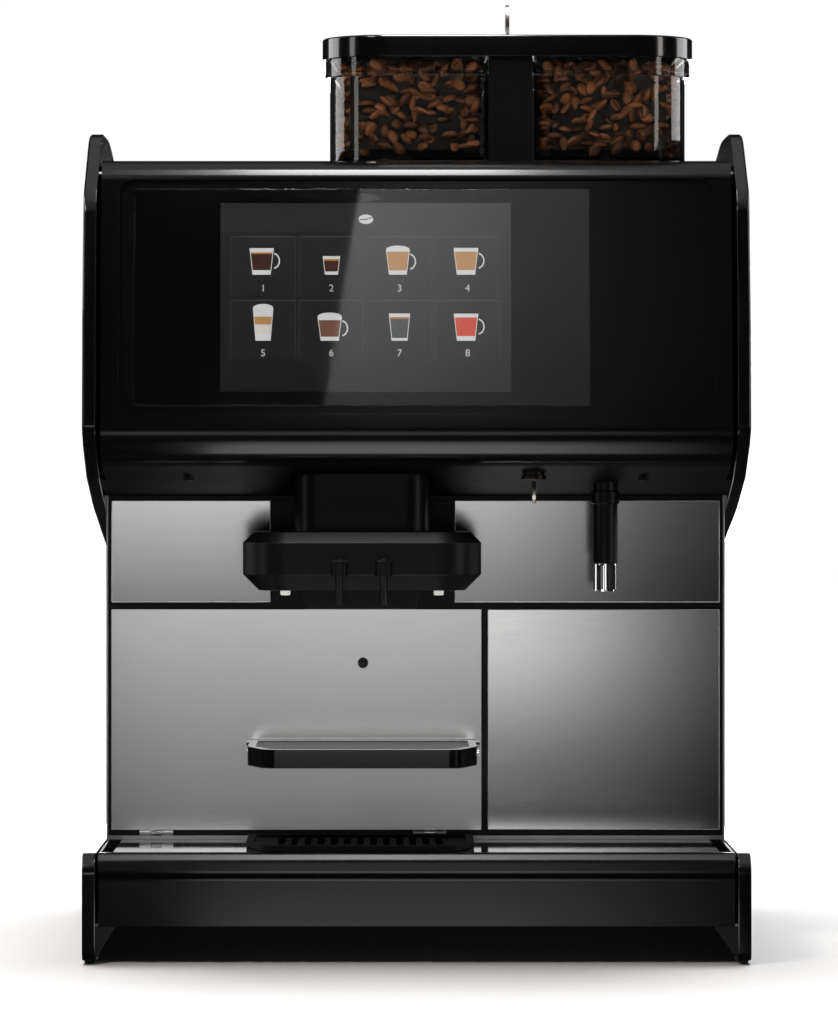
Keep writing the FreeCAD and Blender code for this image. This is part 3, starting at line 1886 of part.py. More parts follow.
# ---------------------------------------------------------------- check and write
doc.recompute()
faults = [f.Name for f in doc.Objects if {"Invalid", "Error"} & set(f.State)]
faults += [name for name, f in nodes.items() if f.Shape.isNull() or not f.Shape.isValid()]
if faults:
    raise SystemExit("failed: " + ", ".join(faults))
os.makedirs("parts", exist_ok=True)
for name, feature in nodes.items():
    feature.Shape.exportStep(f"parts/{name}.step")
whole = Part.makeCompound([f.Shape for f in nodes.values()]).BoundBox
print(len(nodes), "nodes", whole)
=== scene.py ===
import itertools
import json
import math
import random

import bmesh
import bpy
from mathutils import Matrix, Vector


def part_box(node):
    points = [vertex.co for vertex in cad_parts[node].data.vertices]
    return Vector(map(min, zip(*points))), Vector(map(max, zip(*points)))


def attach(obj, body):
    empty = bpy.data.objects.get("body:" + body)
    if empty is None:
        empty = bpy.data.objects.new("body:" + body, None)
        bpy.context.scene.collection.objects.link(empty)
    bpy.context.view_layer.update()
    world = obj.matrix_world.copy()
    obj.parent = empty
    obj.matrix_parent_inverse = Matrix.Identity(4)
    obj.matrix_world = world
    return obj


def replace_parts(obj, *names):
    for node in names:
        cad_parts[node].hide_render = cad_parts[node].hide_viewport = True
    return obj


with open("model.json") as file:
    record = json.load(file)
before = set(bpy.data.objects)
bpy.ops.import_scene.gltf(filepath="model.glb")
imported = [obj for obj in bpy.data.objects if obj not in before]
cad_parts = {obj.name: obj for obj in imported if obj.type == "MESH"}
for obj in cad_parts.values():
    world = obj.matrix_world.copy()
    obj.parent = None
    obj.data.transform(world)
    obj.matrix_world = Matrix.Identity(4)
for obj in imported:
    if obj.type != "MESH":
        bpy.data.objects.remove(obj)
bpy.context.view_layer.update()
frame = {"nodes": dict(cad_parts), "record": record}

MM = 0.001
scene = bpy.context.scene

# ------------------------------------------------------------ studio
# A white floor under a broad soft sun. Glowing cards that only reflections can see
# stand in front; the camera looks straight on, from the height of the cup space.
front_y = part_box("base_sides")[0].y
eye_height = 369.7 * MM
eye_distance = 3.8
camera_data = bpy.data.cameras.new("front_camera")
camera = bpy.data.objects.new("front_camera", camera_data)
camera.location = (-21.4 * MM, front_y - eye_distance, eye_height)
camera.rotation_euler = (math.radians(90), 0, 0)
camera_data.lens = 179
camera_data.sensor_width = 36
camera_data.shift_x = 0.0303
camera_data.shift_y = -0.041
scene.collection.objects.link(camera)
scene.camera = camera
scene.view_settings.view_transform = "Standard"


def empty_material(name):
    """A material with a Principled shader and nothing feeding it."""
    made = bpy.data.materials.new(name)
    made.use_nodes = True
    return made, made.node_tree, made.node_tree.nodes["Principled BSDF"]


world = bpy.data.worlds.new("studio")
scene.world = world
world.use_nodes = True
sky = world.node_tree
sky_out = sky.nodes["World Output"]
backdrop = sky.nodes["Background"]
backdrop.inputs["Color"].default_value = (1, 1, 1, 1)
backdrop.inputs["Strength"].default_value = 1.0
room = sky.nodes.new("ShaderNodeBackground")
direction = sky.nodes.new("ShaderNodeTexCoord")
split = sky.nodes.new("ShaderNodeSeparateXYZ")
height_ramp = sky.nodes.new("ShaderNodeValToRGB")
sky.links.new(direction.outputs["Generated"], split.inputs[0])
sky.links.new(split.outputs["Z"], height_ramp.inputs[0])
sky.links.new(height_ramp.outputs[0], room.inputs["Color"])
height_ramp.color_ramp.elements[0].position = 0.5
height_ramp.color_ramp.elements[0].color = (0.012, 0.012, 0.013, 1)
height_ramp.color_ramp.elements[1].position = 0.95
height_ramp.color_ramp.elements[1].color = (0.42, 0.42, 0.43, 1)
seen = sky.nodes.new("ShaderNodeLightPath")
choice = sky.nodes.new("ShaderNodeMixShader")
sky.links.new(seen.outputs["Is Camera Ray"], choice.inputs[0])
sky.links.new(room.outputs[0], choice.inputs[1])
sky.links.new(backdrop.outputs[0], choice.inputs[2])
sky.links.new(choice.outputs[0], sky_out.inputs["Surface"])


def soft_box(name, place, aim, size, power, tint=(1, 1, 1), sheen_only=True):
    """A rectangular area lamp at place, turned to aim; sheen_only lights no matt surface."""
    lamp = bpy.data.lights.new(name, "AREA")
    lamp.shape = "RECTANGLE"
    lamp.size, lamp.size_y = size
    lamp.energy = power
    lamp.color = tint
    holder = bpy.data.objects.new(name, lamp)
    holder.location = place
    turn = (Vector(aim) - Vector(place)).to_track_quat("-Z", "Y")
    holder.rotation_euler = turn.to_euler()
    holder.visible_diffuse = not sheen_only
    holder.visible_transmission = not sheen_only
    scene.collection.objects.link(holder)


def card(name, corners, across, upward, strength):
    """A glowing sheet seen only in reflections, faded by two ramps of (start, end, share, share).

    One ramp runs along X, the other along Z on an upright card or along Y on a flat one.
    """
    mesh = bpy.data.meshes.new(name)
    mesh.from_pydata(corners, [], [range(len(corners))])
    sheet = bpy.data.objects.new(name, mesh)
    scene.collection.objects.link(sheet)
    made, tree, bsdf = empty_material(name)
    nodes, links = tree.nodes, tree.links
    nodes.remove(bsdf)
    glow = nodes.new("ShaderNodeEmission")
    place = nodes.new("ShaderNodeTexCoord")
    parts = nodes.new("ShaderNodeSeparateXYZ")
    links.new(place.outputs["Object"], parts.inputs[0])
    faded = nodes.new("ShaderNodeMath")
    faded.operation = "MULTIPLY"
    rising = "Z" if corners[0][1] == corners[2][1] else "Y"
    for n, (axis, stops) in enumerate((("X", across), (rising, upward))):
        ranged = nodes.new("ShaderNodeMapRange")
        ranged.interpolation_type = "SMOOTHSTEP"
        for socket, value in zip(("From Min", "From Max", "To Min", "To Max"), stops):
            ranged.inputs[socket].default_value = value
        links.new(parts.outputs[axis], ranged.inputs["Value"])
        links.new(ranged.outputs[0], faded.inputs[n])
    strong = nodes.new("ShaderNodeMath")
    strong.operation = "MULTIPLY"
    strong.inputs[1].default_value = strength
    links.new(faded.outputs[0], strong.inputs[0])
    links.new(strong.outputs[0], glow.inputs["Strength"])
    links.new(glow.outputs[0], nodes["Material Output"].inputs["Surface"])
    mesh.materials.append(made)
    sheet.visible_camera = False
    sheet.visible_diffuse = False
    sheet.visible_shadow = False


sun = bpy.data.lights.new("sun", "SUN")
sun.energy = 3.3
sun.angle = math.radians(40)
sun_holder = bpy.data.objects.new("sun", sun)
sun_holder.rotation_euler = (math.radians(-18), 0, 0)
sun_holder.visible_glossy = False
scene.collection.objects.link(sun_holder)
soft_box("top_box", (-0.03, -0.5, 1.9), (-0.03, -0.1, 0.3), (0.28, 1.2), 24)
soft_box("left_strip", (-1.6, -0.9, 0.9), (-0.1, 0, 0.35), (0.3, 1.5), 4)
soft_box("right_strip", (1.5, -1.0, 0.8), (0.1, 0, 0.35), (0.25, 1.4), 5, (1, 0.96, 0.9))
soft_box("rear_box", (0.5, 2.8, 0.35), (0, 0.28, 0.35), (2.6, 0.8), 45)
soft_box("left_box", (-2.6, 0.9, 1.2), (-0.25, 0.1, 0.4), (1.6, 1.4), 25)
soft_box("right_box", (2.6, 0.9, 1.2), (0.25, 0.1, 0.4), (1.6, 1.4), 25)
soft_box("warm_lamp", (-0.6, -1.2, 1.3), (0, 0, 0.65), (0.3, 0.3), 7, (1, 0.9, 0.8), sheen_only=False)
card(
    "steel_card",
    [(-0.36, -1.5, -0.12), (0.42, -1.5, -0.12), (0.42, -1.5, 0.29), (-0.36, -1.5, 0.29)],
    across=(0.08, 0.335, 1, 0.05),
    upward=(0.02, 0.25, 0.03, 1),
    strength=1.5,
)
card(
    "glare_card",
    [(-0.137, -4.3, 1.16), (0.3, -4.3, 1.16), (0.3, -4.3, 1.75), (-0.043, -4.3, 1.75)],
    across=(-0.1, 0.3, 1, 0.5),
    upward=(1.2, 1.65, 0.5, 1),
    strength=1.3,
)
card(
    "chin_card",
    [(-0.17, -0.86, 0), (0.5, -0.86, 0), (0.5, -0.36, 0), (-0.17, -0.36, 0)],
    across=(0.05, 0.28, 1, 0),
    upward=(-0.86, -0.6, 0.3, 1),
    strength=3.0,
)

floor_mesh = bpy.data.meshes.new("floor")
floor_shape = bmesh.new()
bmesh.ops.create_grid(floor_shape, x_segments=1, y_segments=1, size=12)
floor_shape.to_mesh(floor_mesh)
floor_shape.free()
floor = bpy.data.objects.new("floor", floor_mesh)
scene.collection.objects.link(floor)
floor_paper, tree, bsdf = empty_material("floor_paper")
bsdf.inputs["Base Color"].default_value = (0.93, 0.93, 0.93, 1)
bsdf.inputs["Roughness"].default_value = 1.0
bsdf.inputs["Specular IOR Level"].default_value = 0.0
floor_mesh.materials.append(floor_paper)
floor.visible_glossy = False

# ------------------------------------------------------------ base
# Two gloss black moulded plates carry the machine on rubber pads. A folded steel
# pan is screwed between them and closes the machine underneath.


def build_grain():
    """Fine surface grain: an even noise that can be stretched into a brushed one."""
    group = bpy.data.node_groups.new("surface_grain", "ShaderNodeTree")
    for title, kind, value in (
        ("Stretch", "NodeSocketVector", (1, 1, 1)),
        ("Scale", "NodeSocketFloat", 900),
        ("Roughness", "NodeSocketFloat", 0.4),
        ("Spread", "NodeSocketFloat", 0.1),
    ):
        entry = group.interface.new_socket(title, in_out="INPUT", socket_type=kind)
        entry.default_value = value
    for title in ("Roughness", "Height", "Tone"):
        group.interface.new_socket(title, in_out="OUTPUT", socket_type="NodeSocketFloat")
    nodes, links = group.nodes, group.links
    given, put = nodes.new("NodeGroupInput"), nodes.new("NodeGroupOutput")
    place = nodes.new("ShaderNodeTexCoord")
    stretch = nodes.new("ShaderNodeVectorMath")
    stretch.operation = "MULTIPLY"
    fine = nodes.new("ShaderNodeTexNoise")
    fine.inputs["Detail"].default_value = 3
    broad = nodes.new("ShaderNodeTexNoise")
    broad.inputs["Scale"].default_value = 9
    broad.inputs["Detail"].default_value = 4
    links.new(place.outputs["Object"], stretch.inputs[0])
    links.new(given.outputs["Stretch"], stretch.inputs[1])
    links.new(stretch.outputs[0], fine.inputs["Vector"])
    links.new(given.outputs["Scale"], fine.inputs["Scale"])
    links.new(place.outputs["Object"], broad.inputs["Vector"])
    mixed = nodes.new("ShaderNodeMath")
    mixed.operation = "ADD"
    links.new(fine.outputs["Fac"], mixed.inputs[0])
    links.new(broad.outputs["Fac"], mixed.inputs[1])
    centred = nodes.new("ShaderNodeMath")
    centred.operation = "SUBTRACT"
    centred.inputs[1].default_value = 1.0
    links.new(mixed.outputs[0], centred.inputs[0])
    spread = nodes.new("ShaderNodeMath")
    spread.operation = "MULTIPLY_ADD"
    links.new(centred.outputs[0], spread.inputs[0])
    links.new(given.outputs["Spread"], spread.inputs[1])
    links.new(given.outputs["Roughness"], spread.inputs[2])
    links.new(spread.outputs[0], put.inputs["Roughness"])
    links.new(fine.outputs["Fac"], put.inputs["Height"])
    links.new(broad.outputs["Fac"], put.inputs["Tone"])
    return group


grain = build_grain()


def surface(
    name, crease_shaded, light, roughness, spread, bump, scale=900, stretch=(1, 1, 1), metallic=0.0, **sockets
):
    """A material on the shared grain: two tones, a rough spread and a fine bump."""
    made, tree, bsdf = empty_material(name)
    nodes, links = tree.nodes, tree.links
    grained = nodes.new("ShaderNodeGroup")
    grained.node_tree = grain
    grained.inputs["Stretch"].default_value = stretch
    grained.inputs["Scale"].default_value = scale
    grained.inputs["Roughness"].default_value = roughness
    grained.inputs["Spread"].default_value = spread
    tones = nodes.new("ShaderNodeMix")
    tones.data_type = "RGBA"
    tones.inputs["A"].default_value = (*crease_shaded, 1)
    tones.inputs["B"].default_value = (*light, 1)
    links.new(grained.outputs["Tone"], tones.inputs["Factor"])
    links.new(tones.outputs["Result"], bsdf.inputs["Base Color"])
    links.new(grained.outputs["Roughness"], bsdf.inputs["Roughness"])
    relief = nodes.new("ShaderNodeBump")
    relief.inputs["Strength"].default_value = bump
    relief.inputs["Distance"].default_value = 0.1 * MM
    links.new(grained.outputs["Height"], relief.inputs["Height"])
    links.new(relief.outputs["Normal"], bsdf.inputs["Normal"])
    bsdf.inputs["Metallic"].default_value = metallic
    for title, value in sockets.items():
        bsdf.inputs[title.replace("_", " ")].default_value = value
    return made


def carried(node, made):
    """A CAD node kept as it is, with its own material."""
    piece = frame["nodes"][node]
    piece.data.materials.clear()
    piece.data.materials.append(made)
    return piece


def body_of(node):
    """The moving body that carries a CAD node."""
    bodies = frame["record"]["behaviour"]["bodies"]
    return next(body for body, members in bodies.items() if node in members)


def add_piece(shape, name, body, slot_name, *made):
    """Turns a bmesh into a piece that rides on a body."""
    mesh = bpy.data.meshes.new(name)
    shape.to_mesh(mesh)
    shape.free()
    for each in made:
        mesh.materials.append(each)
    piece = bpy.data.objects.new(name, mesh)
    scene.collection.objects.link(piece)
    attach(piece, body)
    return piece


def merged(node):
    """A CAD node's mesh as one closed bmesh with its flat faces joined."""
    shape = bmesh.new()
    shape.from_mesh(frame["nodes"][node].data)
    bmesh.ops.remove_doubles(shape, verts=shape.verts, dist=1e-6)
    bmesh.ops.dissolve_limit(
        shape, angle_limit=math.radians(0.8), verts=shape.verts, edges=shape.edges, delimit={"NORMAL"}
    )
    return shape


def soften(shape, width, steps=2, angle=28, rim=-1):
    """Rounds the hard edges as a mould or a folded sheet leaves them."""
    hard = [e for e in shape.edges if len(e.link_faces) == 2 and e.calc_face_angle(0) > math.radians(angle)]
    bmesh.ops.bevel(
        shape,
        geom=hard,
        offset=width,
        offset_type="OFFSET",
        segments=steps,
        profile=0.5,
        affect="EDGES",
        clamp_overlap=True,
        material=rim,
    )
    for face in shape.faces:
        face.smooth = True


def finished(node, made, slot_name, width=0.5 * MM, steps=2, angle=28, rim_made=None):
    """A CAD node's shape with rounded edges, in place of the node; rim_made covers the edges."""
    shape = merged(node)
    soften(shape, width, steps, angle, rim=1 if rim_made else -1)
    covers = (made, rim_made) if rim_made else (made,)
    piece = add_piece(shape, node + "_skin", body_of(node), slot_name, *covers)
    weigh = piece.modifiers.new("even_normals", "WEIGHTED_NORMAL")
    weigh.keep_sharp = True
    weigh.weight = 80
    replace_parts(piece, node)
    return piece


gloss_black = surface(
    "gloss_black_plastic", (0.0012, 0.0012, 0.0013), (0.0026, 0.0026, 0.0028), 0.13, 0.05, 0.02,
    scale=700, Coat_Weight=0.4, Coat_Roughness=0.06,
)
satin_black = surface(
    "satin_black_plastic", (0.0022, 0.0022, 0.0023), (0.0044, 0.0044, 0.0046), 0.36, 0.1, 0.12,
    scale=1600, Specular_IOR_Level=0.2,
)
pad_rubber = surface("pad_rubber", (0.014, 0.014, 0.014), (0.03, 0.03, 0.029), 0.75, 0.15, 0.3, scale=1200)
plain_sheet = surface(
    "plain_steel_sheet", (0.30, 0.31, 0.32), (0.42, 0.43, 0.44), 0.38, 0.12, 0.05, scale=600, metallic=1.0
)
finished("base_sides", gloss_black, "gloss_black", 0.9 * MM, 3)
finished("foot_pads", pad_rubber, "rubber", 0.4 * MM)
finished("base_pan", plain_sheet, "steel_sheet", 0.2 * MM, 1)

# ------------------------------------------------------------ drip tray
# The tray pulls out as a drawer: a satin black front rail with a rounded nose, a
# moulded tub behind it and a polished steel sheet let into the top.
rail_black = surface(
    "tray_rail_black", (0.0018, 0.0018, 0.002), (0.003, 0.003, 0.0033), 0.3, 0.08, 0.06,
    scale=1300, Specular_IOR_Level=0.3,
)
mirror_steel = surface(
    "polished_steel", (0.62, 0.63, 0.64), (0.74, 0.75, 0.76), 0.06, 0.06, 0.015, scale=260, metallic=1.0
)
dull_black = surface(
    "dull_black_plastic", (0.0018, 0.0018, 0.0019), (0.0034, 0.0034, 0.0036), 0.62, 0.1, 0.15,
    scale=1500, Specular_IOR_Level=0.08,
)
finished("tray_front", rail_black, "gloss_black", 0.4 * MM)
finished("tray_tub", satin_black, "satin_black", 0.3 * MM, 1)
finished("tray_top", mirror_steel, "mirror_steel", 0.25 * MM, 1)
finished("drip_grid", dull_black, "satin_black", 0.5 * MM)

# ------------------------------------------------------------ steel body
# Folded stainless side, rear and front sheets round a welded frame. The fronts are
# satin ground, their rounded edges painted pale as a painted highlight, and the inner sheets are left
# plain.


def bowed_sheet(name, lean, bow=0.0, middle=0.0):
    """Satin ground steel that leans in X and Z and bows about a height, as hung sheet does."""
    made = surface(
        name, (0.56, 0.56, 0.555), (0.64, 0.64, 0.635), 0.15, 0.03, 0.008,
        scale=500, stretch=(0.06, 1, 1), metallic=1.0,
    )
    nodes, links = made.node_tree.nodes, made.node_tree.links
    place = nodes.new("ShaderNodeTexCoord")
    rise = nodes.new("ShaderNodeVectorMath")
    rise.operation = "DOT_PRODUCT"
    rise.inputs[1].default_value = (lean[0], 0, lean[1])
    links.new(place.outputs["Object"], rise.inputs[0])
    parts = nodes.new("ShaderNodeSeparateXYZ")
    links.new(place.outputs["Object"], parts.inputs[0])
    above = nodes.new("ShaderNodeMath")
    above.operation = "SUBTRACT"
    above.inputs[1].default_value = middle
    links.new(parts.outputs["Z"], above.inputs[0])
    square = nodes.new("ShaderNodeMath")
    square.operation = "MULTIPLY"
    links.new(above.outputs[0], square.inputs[0])
    links.new(above.outputs[0], square.inputs[1])
    bowed = nodes.new("ShaderNodeMath")
    bowed.operation = "MULTIPLY_ADD"
    bowed.inputs[1].default_value = bow
    links.new(square.outputs[0], bowed.inputs[0])
    links.new(rise.outputs["Value"], bowed.inputs[2])
    lean_bump = nodes.new("ShaderNodeBump")
    lean_bump.inputs["Distance"].default_value = 1.0
    links.new(bowed.outputs[0], lean_bump.inputs["Height"])
    links.new(lean_bump.outputs["Normal"], nodes["Bump"].inputs["Normal"])
    return made


door_steel = bowed_sheet("door_steel", (0, 0.029), 0.147, 0.26)
upper_steel = bowed_sheet("upper_panel_steel", (-0.015, 0.0566), 0.085, 0.275)
drawer_steel = bowed_sheet("drawer_steel", (0, 0))
# A pale half-metal for the rounded edges of the steel fronts: a painted highlight along them.
painted_edge_highlight = surface("painted_edge_highlight", (0.8, 0.8, 0.79), (0.9, 0.9, 0.89), 0.35, 0.05, 0.01, metallic=0.5)
side_steel = surface(
    "side_steel", (0.42, 0.425, 0.43), (0.5, 0.505, 0.51), 0.3, 0.08, 0.03,
    scale=500, stretch=(1, 0.06, 1), metallic=1.0,
)
finished("side_panels", side_steel, "side_steel", 0.3 * MM)
finished("rear_panel", plain_sheet, "steel_sheet", 0.2 * MM, 1)
finished("front_frame", satin_black, "steel_sheet", 0.3 * MM)
finished("front_panels", upper_steel, "brushed_steel", 0.5 * MM, rim_made=painted_edge_highlight)
finished("spout_backplate", satin_black, "satin_black", 0.3 * MM)
finished("underside_panel", dull_black, "satin_black", 0.3 * MM, 1)
finished("top_cover", satin_black, "gloss_black", 0.4 * MM)
for each in ("upper_side_left", "upper_side_right"):
    finished(each, gloss_black, "gloss_black", 0.7 * MM, 3)

# ------------------------------------------------------------ service door and cup shelf
# A folded steel door on two small butt hinges. The black moulded cup shelf folds up
# on a steel rod against a rubber stop.
finished("service_door", door_steel, "brushed_steel", 0.35 * MM, 1, rim_made=painted_edge_highlight)
polished_rod = surface(
    "polished_rod", (0.6, 0.6, 0.61), (0.72, 0.72, 0.73), 0.12, 0.08, 0.03, scale=700, metallic=1.0
)
finished("shelf_pivot", polished_rod, "polished_rod", 0.3 * MM)
finished("shelf_bumper", pad_rubber, "rubber", 0.2 * MM)
finished("cup_shelf", gloss_black, "gloss_black", 0.8 * MM, 3)
shelf_steel = surface(
    "shelf_steel", (0.38, 0.385, 0.39), (0.5, 0.505, 0.51), 0.3, 0.1, 0.05, scale=700, metallic=1.0
)
finished("shelf_mat", shelf_steel, "shelf_steel", 0.3 * MM)

# ------------------------------------------------------------ grounds drawer
# A ground steel front, its edges painted pale as a painted highlight, screwed to a grey moulded tub that
# slides on the machine's floor and catches the spent grounds.
finished("drawer_front", drawer_steel, "brushed_steel", 0.5 * MM, rim_made=painted_edge_highlight)
grey_plastic = surface("grey_plastic", (0.12, 0.125, 0.13), (0.17, 0.175, 0.18), 0.5, 0.1, 0.15, scale=1300)
finished("grounds_tub", grey_plastic, "grey_plastic", 0.4 * MM)

# ------------------------------------------------------------ spout
# A satin black moulded head on a square telescopic neck, with two steel outlet tubes
# and two lamps that light the cups. Hot water has its own sleeve and ribbed chrome tip.
finished("spout_head", satin_black, "satin_black", 1.2 * MM, 3, 20)
finished("spout_neck", satin_black, "satin_black", 0.5 * MM)
finished("spout_lower_block", satin_black, "satin_black", 0.8 * MM, 3)
tube_steel = surface(
    "tube_steel", (0.035, 0.035, 0.037), (0.06, 0.06, 0.063), 0.3, 0.1, 0.05, scale=900, metallic=1.0
)
finished("outlet_tubes", tube_steel, "tube_steel", 0.2 * MM)
led_lens = surface(
    "led_lens", (0.3, 0.3, 0.29), (0.45, 0.45, 0.43), 0.2, 0.05, 0.02,
    Emission_Color=(1, 0.97, 0.9, 1), Emission_Strength=0.4,
)
finished("spout_leds", led_lens, "led_lens", 0.8 * MM, 3)
chrome = surface(
    "chrome", (0.72, 0.72, 0.73), (0.82, 0.82, 0.83), 0.07, 0.05, 0.02, scale=500, metallic=1.0
)
finished("hot_water_tube", satin_black, "satin_black", 0.5 * MM)
nozzle_low, nozzle_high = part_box("hot_water_nozzle")
nozzle_middle = (nozzle_low + nozzle_high) / 2
nozzle_tall = nozzle_high.z - nozzle_low.z
# Each rib takes six facets round the tip, and the groove beside it is the narrow pair.
ribs, facets_each, wide, narrow = 14, 6, 9.0 * MM, 8.3 * MM
tip = bmesh.new()
rings = []
for height, swell in ((0, 0.94), (0.06, 1), (0.94, 1), (1, 0.97)):
    ring = []
    level = nozzle_low.z + nozzle_tall * height
    for n in range(ribs * facets_each):
        turn = 2 * math.pi * n / (ribs * facets_each)
        grooved = n % facets_each in (0, 1) and 0 < height < 1
        radius = (narrow if grooved else wide) * swell
        x = nozzle_middle.x + radius * math.sin(turn)
        y = nozzle_middle.y + radius * math.cos(turn)
        ring.append(tip.verts.new((x, y, level)))
    rings.append(ring)
for below, above in zip(rings, rings[1:]):
    for n, corner in enumerate(below):
        tip.faces.new((corner, below[n - 1], above[n - 1], above[n]))
tip.faces.new(rings[0])
tip.faces.new(reversed(rings[-1]))
bmesh.ops.recalc_face_normals(tip, faces=tip.faces)
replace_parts(add_piece(tip, "nozzle_ribs", "machine", "chrome", chrome), "hot_water_nozzle")
carried("spout_guide_rails", polished_rod)

# ------------------------------------------------------------ front flap
# The flap is one gloss black moulding on two studs, dull on its downward faces. A tinted
# glass lies in its recess over the screen, and a cam lock in the chin holds it shut.
flap_black = surface(
    "flap_black", (0.0012, 0.0012, 0.0013), (0.0026, 0.0026, 0.0028), 0.18, 0.05, 0.03,
    scale=1200, Specular_IOR_Level=0.3, Coat_Weight=0.15, Coat_Roughness=0.1,
)
flap_skin = finished("flap_shell", flap_black, "gloss_black", 0.8 * MM, 3, 24)
flap_skin.data.materials.append(dull_black)
facing_down = -0.85
for polygon in flap_skin.data.polygons:
    if polygon.normal.z < facing_down:
        polygon.material_index = 1
dark_screw = surface("dark_screw", (0.008, 0.008, 0.008), (0.02, 0.02, 0.02), 0.45, 0.1, 0.1, metallic=0.8)
lock_bronze = surface(
    "lock_bronze", (0.035, 0.03, 0.026), (0.07, 0.06, 0.05), 0.4, 0.1, 0.05, scale=700, metallic=1.0
)
finished("flap_screws", dark_screw, "dark_screw", 0.5 * MM)
finished("flap_lock", lock_bronze, "chrome", 0.4 * MM)
key_steel = surface(
    "key_steel", (0.36, 0.34, 0.31), (0.5, 0.48, 0.44), 0.34, 0.1, 0.05, scale=700, metallic=1.0
)
finished("flap_key", key_steel, "key_steel", 0.3 * MM)
glass = surface(
    "screen_glass", (0.80, 0.81, 0.81), (0.84, 0.85, 0.85), 0.02, 0.01, 0.0,
    IOR=1.5, Transmission_Weight=1.0,
)
finished("display_glass", glass, "screen_glass", 0.35 * MM)
finished("display_module", satin_black, "screen", 0.2 * MM)

# ------------------------------------------------------------ screen picture
# A lit picture lies between the screen and its glass: eight raised tiles with a drink
# and a number each. Every shape is a thin flat facet on the leaning plane.
glass_low, glass_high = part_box("display_glass")
glass_thick = 3 * MM
lean = (glass_high.y - glass_low.y - glass_thick) / (glass_high.z - glass_low.z)
picture_gap, layer_step = 0.27, 0.035
picture = bmesh.new()
picture_inks = []


def ink(name, crease_shaded, light, foot=1.0):
    """A glowing colour for the picture, mottled a little; foot is its share at the bottom."""
    made = surface(name, (0, 0, 0), (0.002, 0.002, 0.002), 0.5, 0.05, 0.0)
    tree = made.node_tree
    speck = tree.nodes.new("ShaderNodeTexNoise")
    speck.inputs["Scale"].default_value = 60
    place = tree.nodes.new("ShaderNodeTexCoord")
    mix = tree.nodes.new("ShaderNodeMix")
    mix.data_type = "RGBA"
    mix.inputs["A"].default_value = (*crease_shaded, 1)
    mix.inputs["B"].default_value = (*light, 1)
    tree.links.new(place.outputs["Object"], speck.inputs["Vector"])
    tree.links.new(speck.outputs["Fac"], mix.inputs["Factor"])
    bsdf = tree.nodes["Principled BSDF"]
    glow = mix.outputs["Result"]
    bsdf.inputs["Emission Strength"].default_value = 1.0
    if foot < 1:
        parts = tree.nodes.new("ShaderNodeSeparateXYZ")
        tree.links.new(place.outputs["Object"], parts.inputs[0])
        fade = tree.nodes.new("ShaderNodeMapRange")
        for socket, value in (("From Min", glass_low.z), ("From Max", glass_high.z), ("To Min", foot)):
            fade.inputs[socket].default_value = value
        tree.links.new(parts.outputs["Z"], fade.inputs["Value"])
        dimmed = tree.nodes.new("ShaderNodeVectorMath")
        dimmed.operation = "SCALE"
        tree.links.new(glow, dimmed.inputs[0])
        tree.links.new(fade.outputs[0], dimmed.inputs["Scale"])
        glow = dimmed.outputs[0]
    tree.links.new(glow, bsdf.inputs["Emission Color"])
    picture_inks.append(made)
    return len(picture_inks) - 1


def facet(points, layer, color):
    """A flat shape from X and Z places in millimetres, layer steps ahead of the screen."""
    made = []
    for x, z in points:
        glass_back = glass_low.y + glass_thick + lean * (z * MM - glass_low.z)
        y = glass_back + (picture_gap - layer_step * layer) * MM
        made.append(picture.verts.new((x * MM, y, z * MM)))
    face = picture.faces.new(made)
    face.material_index = color
    face.normal_update()
    if face.normal.y > 0:
        face.normal_flip()


def rounded(x, z, radius):
    """A box outline with round corners."""
    outline = []
    for cx, cz, start in ((x[1], z[1], 0), (x[0], z[1], 90), (x[0], z[0], 180), (x[1], z[0], 270)):
        inward = (-radius if cx == x[1] else radius, -radius if cz == z[1] else radius)
        for step in range(4):
            turn = math.radians(start + step * 30)
            outline.append(
                (cx + inward[0] + radius * math.cos(turn), cz + inward[1] + radius * math.sin(turn))
            )
    return outline


backlight = ink("screen_glow", (0.009, 0.01, 0.009), (0.013, 0.014, 0.013), 0.05)
upper_glow = ink("screen_upper_glow", (0.013, 0.0146, 0.0137), (0.017, 0.019, 0.018))
tile_face = ink("tile_face", (0.011, 0.0125, 0.0118), (0.0175, 0.0195, 0.018), 0.05)
tile_rim = ink("tile_rim", (0.05, 0.055, 0.053), (0.07, 0.075, 0.073))
tile_dark = ink("tile_shadow", (0.001, 0.001, 0.001), (0.002, 0.002, 0.002))
white = ink("cup_white", (0.62, 0.62, 0.61), (0.78, 0.78, 0.77))
cream = ink("milk_foam", (0.6, 0.55, 0.5), (0.75, 0.72, 0.68))
coffee = ink("black_coffee", (0.03, 0.008, 0.006), (0.055, 0.016, 0.01))
amber = ink("crema", (0.42, 0.15, 0.03), (0.52, 0.21, 0.05))
tan = ink("milk_coffee", (0.42, 0.2, 0.07), (0.56, 0.3, 0.12))
cocoa = ink("cocoa", (0.13, 0.05, 0.03), (0.2, 0.085, 0.055))
tea = ink("tea", (0.58, 0.05, 0.025), (0.7, 0.09, 0.05))
smoky = ink("double_wall", (0.035, 0.038, 0.038), (0.06, 0.063, 0.063))


